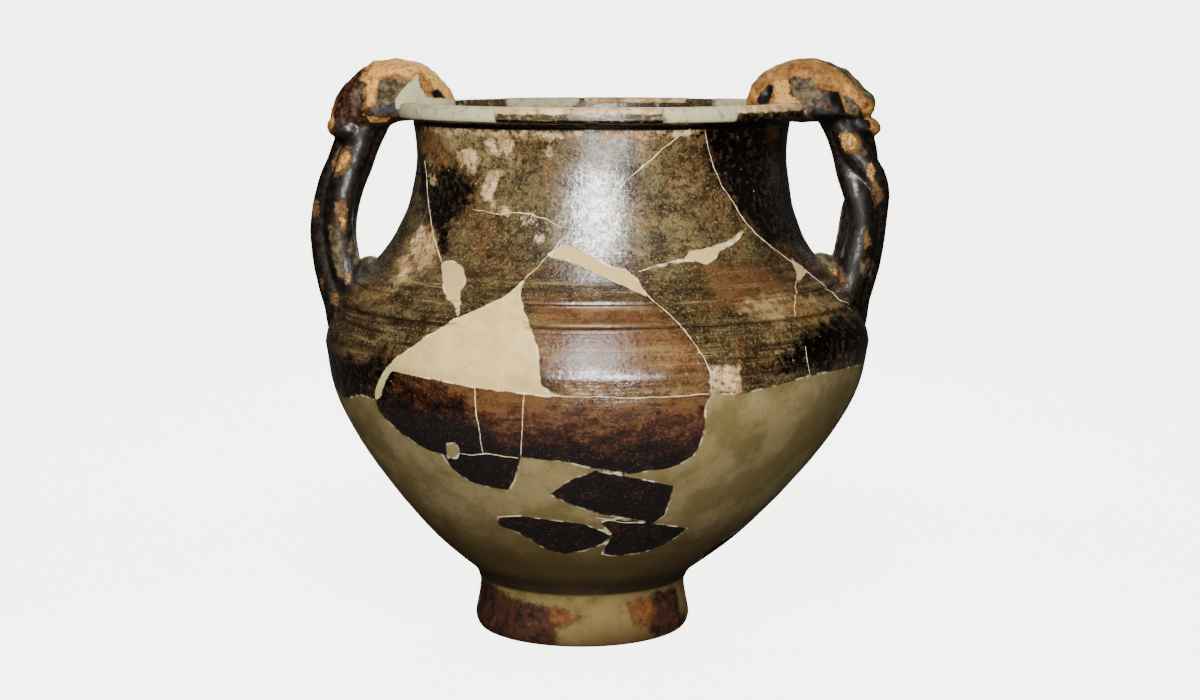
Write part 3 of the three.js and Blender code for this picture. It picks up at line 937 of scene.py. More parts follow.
@dataclass(frozen=True)
class WallFinish:
    """The wall's slip, its wear and its plaster, painted by the patches stored on it, with painted shadow
    under the lip and at the waist and a painted sheen by the belly's edge.
    """

    slip: Colour = Colour(77, 67, 40)
    slip_warm: Colour = Colour(82, 59, 34)
    slip_light: Colour = Colour(136, 118, 78)
    slip_dark: Colour = Colour(26, 16, 7)
    black: Colour = Colour(4, 2, 1)
    red: Colour = Colour(92, 56, 30)
    umber: Colour = Colour(34, 17, 8)
    sherd: Colour = Colour(84, 57, 30)
    sherd_mid: Colour = Colour(52, 24, 10)
    sherd_dark: Colour = Colour(7, 2, 1)
    plaster: Colour = Colour(184, 158, 102)
    plaster_warm: Colour = Colour(164, 140, 90)
    lower: Colour = Colour(116, 102, 67)
    lower_olive: Colour = Colour(92, 79, 44)
    lower_dark: Colour = Colour(58, 43, 16)
    # painted shadow: the dark band where the belly turns in to the foot
    waist_shadow: Colour = Colour(26, 16, 6)
    tan: Colour = Colour(118, 82, 44)
    clay: Colour = Colour(146, 112, 70)
    clay_pale: Colour = Colour(196, 168, 122)
    rim: Colour = Colour(150, 146, 114)
    rim_dark: Colour = Colour(46, 41, 26)
    foot_pale: Colour = Colour(104, 88, 50)
    foot_brown: Colour = Colour(68, 48, 21)
    rust: Colour = Colour(104, 62, 26)
    join: Colour = Colour(214, 202, 168)
    gloss: float = 0.2
    matt: float = 0.86
    coat_bend: float = 2.3

    def slipped(self, n: Nodes, cloud: Socket, mottle: Socket, speck: Socket) -> Socket:
        """The fired slip where it isn't lost.

        Args:
            n: The material's nodes.
            cloud: Broad noise.
            mottle: Middling noise.
            speck: Fine noise.

        Returns:
            Its colour.
        """
        streak = n.noise(5.0, 5, 0.7, (0.12, 0.12, 3.2))
        turned = n.times(n.level(100, 112), n.level(148, 136))
        shade = n.step(n.noise(13, 5, 0.7, (1, 1, 2)), 0.4, 0.62, 0.1, 0.6)
        # The black patch: black slip, and the painted shadow under the lip.
        black = n.edge(Patch.BLACK, 2.2, n.noise(7, 5, 0.75), 12)
        return n.layered(
            self.slip,
            (n.step(n.noise(15, 4, 0.65), 0.42, 0.62), self.slip_warm),
            (n.step(cloud, 0.48, 0.7, 0, 0.5), self.slip_light),
            (n.step(n.noise(1.5, 5, 0.75), 0.55, 0.36, 0, 0.85), self.slip_dark),
            (n.step(n.noise(9, 5, 0.75), 0.44, 0.62, 0, 0.85), self.slip_dark),
            (n.times(n.level(160, 138), shade), self.slip_dark),
            (n.step(speck, 0.53, 0.72, 0, 0.55), self.slip_light),
            (n.step(speck, 0.3, 0.46, 0.65, 0), self.black),
            (n.times(n.step(streak, 0.48, 0.64), n.between(turned, 0.3, 0.8)), self.slip_dark),
            (n.times(n.step(streak, 0.45, 0.3), n.between(turned, 0.05, 0.55)), self.slip_light),
            (n.times(n.edge(Patch.RED, 5, cloud, 7), n.step(mottle, 0.3, 0.6, 0.1, 0.6)), self.red),
            (n.times(n.edge(Patch.UMBER, 0.3, mottle, 0.2), n.step(mottle, 0.62, 0.38, 0.35, 0.92)),
             self.umber),
            (n.times(black, n.step(mottle, 0.5, 0.66, 1, 0.45)), self.black),
        )

    def broken(self, n: Nodes, speck: Socket) -> Socket:
        """The dark sherds set in the lower fill, browner towards their top.

        Args:
            n: The material's nodes.
            speck: Fine noise.

        Returns:
            Their colour.
        """
        up = n.plus(n.level(78, 106), n.times(n.noise(1.6, 5, 0.78), 1.7))
        up = n.plus(up, n.times(n.noise(9, 5, 0.7, (1, 1, 1.8)), 2.2))
        up = n.less(up, n.times(n.edge(Patch.BLACK, 5, n.noise(8, 5, 0.7), 8), 0.55))
        return n.layered(
            self.sherd_dark,
            (n.step(up, 1.95, 2.65), self.sherd_mid),
            (n.step(up, 2.4, 3.0), self.sherd),
            (n.step(speck, 0.58, 0.74, 0, 0.22), self.slip_light),
            (n.step(n.noise(3.2, 4, 0.65, (0.25, 0.25, 1.6)), 0.52, 0.7, 0, 0.6), self.sherd_dark),
        )

    def footed(self, n: Nodes, colour: Socket, mottle: Socket, cloud: Socket) -> Socket:
        """The foot: plaster with stained, slipped and rusty areas.

        Args:
            n: The material's nodes.
            colour: The wall's colour above it.
            mottle: Middling noise.
            cloud: Broad noise.

        Returns:
            The colour with the foot on it.
        """
        base = n.layered(
            self.foot_pale,
            (n.step(n.noise(9, 5, 0.65), 0.42, 0.7, 0, 0.7), self.foot_brown),
            (n.times(n.level(14, 1), n.step(cloud, 0.3, 0.6, 0.5, 0.95)), self.foot_brown),
        )
        slip = n.times(n.edge(Patch.FOOT_SLIP, 1.3, n.noise(3.4, 5, 0.72), 3.6),
                       n.step(n.noise(3.2, 4, 0.7), 0.3, 0.5, 0.7, 1))
        rust = n.times(n.edge(Patch.RUST, 1.6, n.noise(3, 5, 0.7), 3), n.step(mottle, 0.35, 0.6, 0.35, 0.95))
        clay = n.layered(
            self.sherd_dark,
            (n.step(n.noise(4.0, 5, 0.7), 0.36, 0.6), self.sherd_mid),
            (rust, self.rust),
        )
        return n.layered(colour, (n.level(20.4, 18.8), base), (slip, clay))

    def plastered(self, n: Nodes, cloud: Socket, speck: Socket) -> tuple[Socket, Socket]:
        """The plaster of the fills above the belly, and of the lower fill with a painted shadow band just
        above the foot.

        Args:
            n: The material's nodes.
            cloud: Broad noise.
            speck: Fine noise.

        Returns:
            The two colours.
        """
        upper = n.layered(
            self.plaster_warm,
            (n.step(n.noise(7, 5, 0.65), 0.34, 0.66), self.plaster),
            (n.times(n.level(128, 142), 0.85), self.plaster_warm),
            (n.step(speck, 0.5, 0.3, 0, 0.3), self.lower),
        )
        sink = n.plus(n.level(72, 22), n.times(n.noise(13, 5, 0.65), 0.6))
        # Painted shadow: a dark band low on the belly, just above the foot, where it turns in to the waist.
        waist = n.times(n.level(31, 21.5), n.level(18.6, 20.4))
        lower = n.layered(
            self.lower_olive,
            (n.step(n.noise(20, 5, 0.65), 0.4, 0.62), self.lower),
            (n.step(sink, 0.34, 1.15, 0, 0.9), self.lower_dark),
            (n.step(n.noise(1.1, 4, 0.7), 0.5, 0.72, 0, 0.4), self.lower_dark),
            (n.times(waist, n.step(cloud, 0.3, 0.6, 0.5, 0.95)), self.waist_shadow),
        )
        return upper, lower

    def kept_gloss(self, n: Nodes) -> Socket:
        """How much of the slip's gloss is left at each place."""
        dull = n.times(n.level(136, 132), n.level(110, 115))
        return n.times(n.step(n.noise(1.3, 5, 0.78), 0.38, 0.58, 0.2, 1),
                       n.step(n.noise(6, 5, 0.75), 0.38, 0.6, 0.45, 1),
                       n.between(n.level(175, 184), 1.0, 0.22), n.between(dull, 1.0, 0.08))

    def make(self) -> bpy.types.Material:
        """Builds the material."""
        n = Nodes("slipped_wall")
        cloud = n.noise(26, 4, 0.6)
        mottle = n.noise(2.6, 5, 0.7)
        speck = n.noise(0.8, 3, 0.6)
        ragged = n.noise(2.4, 4, 0.6)
        fill = n.edge(Patch.FILL, 0.18, ragged, 0.45)
        low_fill = n.edge(Patch.LOWER_FILL, 0.2, ragged, 0.45)
        rim_fill = n.times(n.edge(Patch.RIM_FILL, 1.2, n.noise(5, 5, 0.7), 4), n.level(193.6, 194.3))
        sherd = n.edge(Patch.SHERD, 0.2, ragged, 0.5)
        # Tan wear; its strip along the belly's edge is partly a painted sheen.
        tan = n.times(n.edge(Patch.TAN, 1.6, n.noise(5, 5, 0.75), 7),
                      n.step(n.noise(2.4, 5, 0.75), 0.4, 0.6, 0.05, 0.75))
        # Worn to clay; its small patch by the belly's edge is partly a painted sheen.
        worn = n.times(n.edge(Patch.WORN, 1.0, n.noise(4.2, 5, 0.75), 5.5),
                       n.step(n.noise(1.9, 5, 0.78), 0.37, 0.54, 0.05, 0.95), n.level(191.5, 190.9))
        top = n.times(n.edge(Patch.WORN, 0.4, n.noise(3.5, 5, 0.7), 1.4),
                      n.step(n.noise(2.2, 5, 0.75), 0.34, 0.48, 0.15, 0.95), n.level(194.6, 195.4))
        lip = n.times(n.level(193.4, 194.6), n.step(n.noise(6, 5, 0.7), 0.36, 0.56, 0.3, 0.95),
                      n.less(1.0, n.edge(Patch.BLACK, 1.2, n.noise(3, 5, 0.7), 2)))
        clay = n.blend(n.step(n.noise(5, 4, 0.7), 0.36, 0.64), self.clay, self.clay_pale)
        upper, lower = self.plastered(n, cloud, speck)
        colour = n.layered(
            self.slipped(n, cloud, mottle, speck),
            (tan, n.blend(n.step(cloud, 0.4, 0.6), self.tan, self.slip_light)),
            (worn, clay),
            (n.times(n.step(n.noise(1.3, 2, 0.5), 0.74, 0.78), 0.8), self.clay_pale),
            (lip, n.blend(n.step(mottle, 0.52, 0.72, 0, 0.7), self.rim_dark, self.rim)),
            (top, clay),
            # Painted shadow under the lip's overhang, over dark slip: a black band all round.
            (n.times(n.level(190.9, 191.5), n.level(194.4, 193.8)), self.black),
            (sherd, self.broken(n, speck)),
            (fill, upper),
            (low_fill, lower),
        )
        rim = n.layered(
            self.rim,
            (n.step(mottle, 0.4, 0.8, 0, 0.6), self.plaster_warm),
            (n.step(n.noise(3, 5, 0.7), 0.5, 0.7, 0, 0.6), self.rim_dark),
        )
        edge = n.maths("ABSOLUTE", n.most(n.patch(Patch.FILL), n.patch(Patch.LOWER_FILL)))
        seam = n.times(n.step(edge, 0.12, 0.5, 1, 0), n.step(n.noise(5, 3, 0.6), 0.46, 0.62), 0.75)
        colour = n.layered(self.footed(n, colour, mottle, cloud), (rim_fill, rim), (seam, self.join))
        worn = n.plus(worn, top)
        filled = n.most(fill, low_fill)
        bare = n.most(filled, rim_fill, worn, n.level(22, 19), n.times(sherd, n.level(102, 90)))
        shiny = n.step(mottle, 0.3, 0.75, self.gloss - 0.06, self.gloss + 0.2)
        height = n.plus(n.times(mottle, 0.4), n.times(n.noise(1.2, 3, 0.6), 0.34))
        height = n.plus(height, n.times(n.noise(5.0, 4, 0.65, (0.12, 0.12, 3.2)), 0.45))
        height = n.less(n.less(height, n.times(filled, 0.7)), n.times(worn, 0.5))
        n.coat(n.times(n.less(1.0, bare), self.kept_gloss(n)), self.gloss, self.coat_bend)
        return n.finish(colour, n.between(bare, shiny, self.matt), height, 0.25)


@dataclass(frozen=True)
class HandleFinish:
    """The handles' thick black slip, worn to orange clay where hands and earth rubbed it, with painted shade
    in its creases, slits and under the right lump.
    """

    slip: Colour = Colour(4, 2, 1)
    slip_light: Colour = Colour(32, 21, 10)
    rubbed: Colour = Colour(62, 40, 21)
    clay: Colour = Colour(134, 92, 42)
    clay_dark: Colour = Colour(88, 50, 20)
    pale: Colour = Colour(188, 138, 70)
    stone: Colour = Colour(84, 76, 52)
    stone_dark: Colour = Colour(40, 28, 14)
    fill: Colour = Colour(140, 142, 112)
    gloss: float = 0.24
    matt: float = 0.8
    coat_bend: float = 1.6
    coat: float = 0.55

    def make(self) -> bpy.types.Material:
        """Builds the material."""
        n = Nodes("slipped_handle")
        cloud = n.noise(8, 4, 0.6)
        mottle = n.noise(2.6, 5, 0.7)
        fine = n.noise(1.1, 4, 0.7)
        edge = n.noise(3.2, 5, 0.75)
        gaps = n.step(n.noise(1.9, 5, 0.75), 0.36, 0.52, 0, 1)
        rod = n.level(191, 185)
        rust = n.times(n.level(188, 196), n.step(n.noise(1.5, 5, 0.75), 0.44, 0.6, 0, 0.85))
        rub = n.times(n.step(n.patch(Patch.CREST), 0.72, 1.0), n.step(cloud, 0.5, 0.64, 0, 0.8),
                      n.step(fine, 0.35, 0.55))
        slip = n.layered(
            self.slip,
            (n.step(mottle, 0.42, 0.66), self.slip_light),
            (n.step(fine, 0.6, 0.74, 0, 0.4), self.stone),
            (rust, n.blend(cloud, self.clay_dark, self.rubbed)),
            (rub, self.rubbed),
        )
        clay = n.layered(
            self.clay_dark,
            (n.step(n.noise(4.5, 5, 0.68), 0.34, 0.56), self.clay),
            (n.step(n.noise(6, 5, 0.7), 0.5, 0.66, 0, 0.6), self.pale),
            (n.step(fine, 0.42, 0.3, 0, 0.6), self.stone_dark),
            (n.times(rod, 0.7), self.rubbed),
        )
        tan = n.times(n.edge(Patch.TAN, 0.5, edge, 2.6), n.most(gaps, n.between(rod, 0.6, 0.1)))
        pale = n.times(n.edge(Patch.WORN, 0.5, edge, 2.2), n.most(gaps, n.between(rod, 0.8, 0.2)))
        hollow = n.edge(Patch.HOLLOW, 0.7, edge, 1.2)
        black = n.edge(Patch.BLACK, 0.4, edge, 1.4)
        fill = n.edge(Patch.RIM_FILL, 0.35, mottle, 0.8)
        # Painted shade: where the skin dips in, the handle's creases take the black slip's colour.
        crease_shade = n.step(n.patch(Patch.CREST), 0.3, 0.05)
        colour = n.layered(
            slip,
            (tan, clay),
            (hollow, n.blend(n.step(mottle, 0.4, 0.62), self.stone_dark, self.stone)),
            (pale, n.blend(n.step(fine, 0.34, 0.56), clay, self.pale)),
            # Black slip, with painted shade in the creases and in the right lump's slit, crevice and
            # underside.
            (n.most(black, n.times(crease_shade, 0.8)), self.slip),
            (fill, n.blend(n.step(mottle, 0.4, 0.75, 0, 0.6), self.fill, self.pale)),
        )
        bare = n.most(n.times(n.most(tan, pale, n.times(hollow, 0.55)), n.less(1.0, black)), fill)
        shiny = n.step(mottle, 0.3, 0.75, self.gloss + 0.25, self.gloss + 0.4)
        height = n.plus(n.times(mottle, 0.4), n.times(fine, 0.25))
        height = n.less(height, n.times(bare, 0.6))
        kept = n.times(n.step(n.noise(1.5, 5, 0.75), 0.36, 0.6, 0.2, 1), self.coat,
                       n.step(n.noise(11, 5, 0.7), 0.46, 0.58, 0.03, 1.3),
                       n.between(n.level(188, 196), 1.0, 0.12))
        n.coat(n.times(n.less(1.0, bare), kept), self.gloss, self.coat_bend)
        return n.finish(colour, n.between(bare, shiny, self.matt), height, 0.26)


@dataclass(frozen=True)
class JoinFinish:
    """The cream adhesive and plaster that shows in the joins between sherds."""

    cream: Colour = Colour(204, 192, 160)
    soiled: Colour = Colour(150, 132, 96)

    def make(self) -> bpy.types.Material:
        """Builds the material."""
        n = Nodes("join_filler")
        colour = n.blend(n.step(n.noise(3, 4, 0.65), 0.35, 0.68), self.soiled, self.cream)
        rough = n.step(n.noise(1.2), 0.2, 0.8, 0.7, 0.95)
        return n.finish(colour, rough, n.noise(0.8, 3), 0.08)


@dataclass
class Vessel:
    """The mended bowl with its foot, neck and lip, as one closed mesh."""

    wall: Wall
    sight: Sight
    mesher: Mesher
    front_columns: int = 232
    back_columns: int = 116

    def angles(self) -> np.ndarray:
        """Angles of the mesh's columns, closer together in front."""
        front = np.linspace(-90, 90, self.front_columns, endpoint=False)
        back = np.linspace(90, 270, self.back_columns, endpoint=False)
        return np.radians(np.concatenate([front, back]))

    def build(self, finish: bpy.types.Material) -> bpy.types.Object:
        """Builds, paints and dresses the vessel.

        Args:
            finish: The wall's material.

        Returns:
            The vessel.
        """
        rows = self.wall.closed[1:-1]
        angle = self.angles()
        across, up = np.meshgrid(angle, rows[:, 1])
        radius = np.repeat(rows[:, :1], len(angle), axis=1)
        first_inside = len(self.wall.foot_under()) - 1 + len(self.wall.outer) + 8
        soft = self.wall.uneven(across.ravel(), up.ravel(), radius.ravel())
        soft = soft.reshape(up.shape)
        soft[first_inside:] *= -0.4
        soft[: len(self.wall.foot_under())] = 0
        levelled = self.levelled(across, up, radius)
        outside = slice(len(self.wall.foot_under()) - 1, first_inside - 8)
        radius[outside] += levelled[outside]
        radius = radius - soft
        out = radius * np.sin(across) + self.wall.lean(up)
        places = np.stack([out, -radius * np.cos(across), up], axis=2).reshape(-1, 3)
        ends = self.wall.closed[[0, -1], 1]
        poles = np.array([[self.wall.lean(z), 0, z] for z in ends])
        made = self.mesher.piece("vessel", np.vstack([places, poles]), self.faces(len(rows), len(angle)))
        self.dress(made, across, up, radius, ends)
        self.mesher.settle(made, finish)
        return made

    def levelled(self, across: np.ndarray, up: np.ndarray, radius: np.ndarray) -> np.ndarray:
        """How far the plaster stands off the ridge, the band and the step that it bridges.

        Args:
            across: Angles of the mesh's points.
            up: Their levels.
            radius: Their radii.

        Returns:
            A change of radius for each point, in millimetres.
        """
        spots = (across.ravel(), self.wall.run(up.ravel()), radius.ravel())
        inside = Outline.seen(self.sight, SHOULDER_FILL).distance(*spots).reshape(up.shape)
        low, high = self.wall.collar_level - 2, self.wall.step_level + 5
        ends = self.wall.radius(np.array([low, high]))
        plain = np.interp(up, [low, high], ends)
        crossed = (up > low) & (up < high)
        return np.where(crossed, plain - self.wall.radius(up), 0) * smoothstep(inside, 0.2, 2.6) * 0.85

    @staticmethod
    def faces(rows: int, columns: int) -> list:
        """Faces of a closed turned mesh with a point at each end.

        Args:
            rows: Rings of points.
            columns: Points in each ring.

        Returns:
            The faces.
        """
        ring = np.arange(rows * columns).reshape(rows, columns)
        beside = np.roll(ring, -1, axis=1)
        quads = np.stack([ring[:-1], beside[:-1], beside[1:], ring[1:]], axis=-1).reshape(-1, 4)
        low, high = rows * columns, rows * columns + 1
        caps = [(low, b, a) for a, b in zip(ring[0], beside[0])]
        caps += [(high, a, b) for a, b in zip(ring[-1], beside[-1])]
        return [tuple(q) for q in quads.tolist()] + [tuple(int(k) for k in c) for c in caps]

    def dress(self, made: bpy.types.Object, across: np.ndarray, up: np.ndarray, radius: np.ndarray,
              ends: np.ndarray) -> None:
        """Works out the patches on the vessel and stores them.

        Args:
            made: The vessel.
            across: Angles of its points.
            up: Their levels.
            radius: Their radii.
            ends: The levels of the two end points.
        """
        angle = np.concatenate([across.ravel(), [0, 0]])
        level = np.concatenate([up.ravel(), ends])
        spots = (angle, self.wall.run(level), np.concatenate([radius.ravel(), [0, 0]]))
        back = (np.where(angle < 0, angle + 2 * math.pi, angle), spots[1], spots[2])
        front = (np.where(angle > math.pi, angle - 2 * math.pi, angle), spots[1], spots[2])
        fills = [NECK_FILL, RIGHT_FILL, SMALL_FILL, SHOULDER_FILL, SLANT_FILL]
        layers = {}
        for patch, pictures, behind in (
                (Patch.FILL, fills, BACK_FILLS), (Patch.SHERD, SHERDS, BACK_SHERDS),
                (Patch.FOOT_SLIP, FOOT_SLIP, []), (Patch.RUST, RUST_SPOTS, []),
                (Patch.BLACK, BLACK_SLIP, BACK_BLACK), (Patch.RED, RED_SLIP, []),
                (Patch.TAN, TAN_SLIP_AND_SHEEN, BACK_TAN), (Patch.UMBER, UMBER_SHERDS, []),
                (Patch.WORN, WORN_SLIP_AND_SHEEN, BACK_WORN), (Patch.LOWER_FILL, [NOTCH], [])):
            layers[patch] = np.maximum(
                widest([Outline.seen(self.sight, picture) for picture in pictures], front),
                widest([Outline.hidden(self.wall, corners) for corners in behind], back))
        lower = np.maximum(self.lower_edge().distance(*front), layers[Patch.LOWER_FILL])
        layers[Patch.LOWER_FILL] = np.minimum(lower, -layers[Patch.SHERD])
        layers[Patch.RIM_FILL] = self.rim(back, RIM_FILLS, 0.1)
        # The black patch also takes the line under the lip: dark slip with a painted shadow.
        for patch, more in ((Patch.SHERD, self.belly_sherd(front)), (Patch.BLACK, self.under_lip(spots)),
                            (Patch.WORN, self.rim(back, RIM_WORN, 0.66))):
            layers[patch] = np.maximum(layers[patch], more)
        self.mesher.paint(made, layers)

    def rim(self, spots: tuple, spans: list, share: float) -> np.ndarray:
        """Signed distance to stretches of the lip.

        Args:
            spots: The places.
            spans: The stretches, each two angles in degrees.
            share: How far up the lip they start.

        Returns:
            One distance for each place.
        """
        foot = self.wall.neck_top + self.wall.lip_height * share
        over = self.wall.rim_level + 20
        lifted = []
        for a, b in spans:
            flat = Outline.hidden(self.wall, [(a, foot), (b, foot), (b, over), (a, over)])
            raised = np.where(flat.run >= self.wall.arc[-1] - 0.1, flat.run + 30, flat.run)
            lifted.append(Outline(flat.angle, raised))
        return widest(lifted, spots)

    def under_lip(self, spots: tuple) -> np.ndarray:
        """Signed distance to the black line under the lip, all the way round: dark slip with a painted shadow
        under the overhang.
        """
        low = self.wall.run(self.wall.neck_top - 2.2)
        high = self.wall.run(self.wall.neck_top + self.wall.lip_height * 0.2)
        return np.minimum(spots[1] - low, high - spots[1]) * 12 + 12

    def belly_sherd(self, spots: tuple) -> np.ndarray:
        """Signed distance to the large dark sherd across the belly."""
        lower = [p for p in LOWER_EDGE if 374 < p[0] < 712]
        top = [(711, 394), (660, 397), (620, 398), (566, 398), (527, 394), (470, 387), (438, 380),
               (414, 376), (397, 372)]
        return Outline.seen(self.sight, lower[1:] + top).distance(*spots)

    def lower_edge(self) -> Outline:
        """The upper edge of the lower fill, all the way round, closed far below the foot."""
        angle, run = self.sight.on_wall(Outline.dense(LOWER_EDGE))
        behind = Outline.dense(LOWER_EDGE_BEHIND)
        angle = np.concatenate([angle, np.radians(behind[:, 0])])
        run = np.concatenate([run, self.wall.run(behind[:, 1])])
        turn = 2 * math.pi
        angle = np.concatenate([angle - turn, angle, angle + turn])
        run = np.concatenate([run, run, run])
        return Outline(np.concatenate([angle, [angle[-1], angle[0]]]), np.concatenate([run, [-500, -500]]))


# Stretches of the lip, in degrees round it.
RIM_FILLS = [(16, 38), (268, 331), (188, 214), (118, 139)]
RIM_WORN = [(331, 376), (38, 84), (150, 186), (-30, 16)]


@dataclass
class Joins:
    """The thin filled joins between the vessel's sherds."""

    wall: Wall
    sight: Sight
    mesher: Mesher
    width: float = 0.42
    proud: float = 0.1
    sunk: float = 0.5
    spacing: float = 0.9
    grain: Grain = Grain(29)

    def build(self, finish: bpy.types.Material) -> bpy.types.Object:
        """Builds and dresses every join.

        Args:
            finish: The joins' material.

        Returns:
            One piece that holds them all.
        """
        places, faces = [], []
        for picture in JOINS:
            self.add(*self.sight.on_wall(Outline.dense(picture)), places, faces)
        for corners in JOIN_BEHIND:
            points = Outline.dense(corners)
            self.add(np.radians(points[:, 0]), self.wall.run(points[:, 1]), places, faces)
        made = self.mesher.piece("joins", np.vstack(places), faces)
        self.mesher.settle(made, finish)
        return made

    def add(self, angle: np.ndarray, run: np.ndarray, places: list, faces: list) -> None:
        """Adds one join's closed strip.

        Args:
            angle: Angles of its points.
            run: Their lengths up the outer face.
            places: Rings of points so far, added to.
            faces: Faces so far, added to.
        """
        radius = self.wall.radius(self.wall.level_at(run))
        ahead = np.hypot(np.diff(angle) * radius[1:], np.diff(run))
        way = np.concatenate([[0], np.cumsum(ahead)])
        stops = np.linspace(0, way[-1], max(int(way[-1] / self.spacing), 3))
        angle, run = np.interp(stops, way, angle), np.interp(stops, way, run)
        level = self.wall.level_at(run)
        flat = np.stack([angle * 80, run, run * 0 + len(places)], axis=1)
        sway = self.grain.at(flat, 3.5) * 0.35 + self.grain.at(flat + 50, 1.3) * 0.12
        wide = self.width * (0.75 + 0.45 * self.grain.at(flat + 90, 5) + 0.2 * self.grain.at(flat, 1.6))
        wide = np.clip(wide, 0.14, 1.0) / 2
        wide *= np.clip(np.minimum(np.arange(len(stops)), np.arange(len(stops))[::-1]) / 3 + 0.35, 0, 1)
        reach = np.gradient(angle) * self.wall.radius(level)
        rise = np.gradient(run)
        size = np.hypot(reach, rise)
        turn = (-rise / size, reach / size)
        first = sum(len(block) for block in places)
        rings = []
        for share, proud in ((-1, -self.sunk), (-1, 0.02), (-0.5, self.proud), (0.5, self.proud),
                             (1, 0.02), (1, -self.sunk)):
            off = sway + wide * share
            a = angle + off * turn[0] / self.wall.radius(level)
            z = self.wall.level_at(np.clip(run + off * turn[1], 0, self.wall.arc[-1]))
            rings.append(self.wall.place(a, z, proud))
        block = np.stack(rings, axis=1)
        places.append(block.reshape(-1, 3))
        for k in range(len(stops) - 1):
            for side in range(6):
                a, b = first + k * 6 + side, first + k * 6 + (side + 1) % 6
                faces.append((a, b, b + 6, a + 6))
        last = first + (len(stops) - 1) * 6
        faces.append(tuple(first + k for k in reversed(range(6))))
        faces.append(tuple(last + k for k in range(6)))


@dataclass(frozen=True)
class Mark:
    """A swelling or a hollow worn into a handle, at a pixel of the photograph."""

    pixel: tuple
    reach: float
    height: float


@dataclass(frozen=True)
class Area:
    """A worn, mended or dark area of a handle, by its corners in the photograph's pixels."""

    patch: Patch
    corners: list


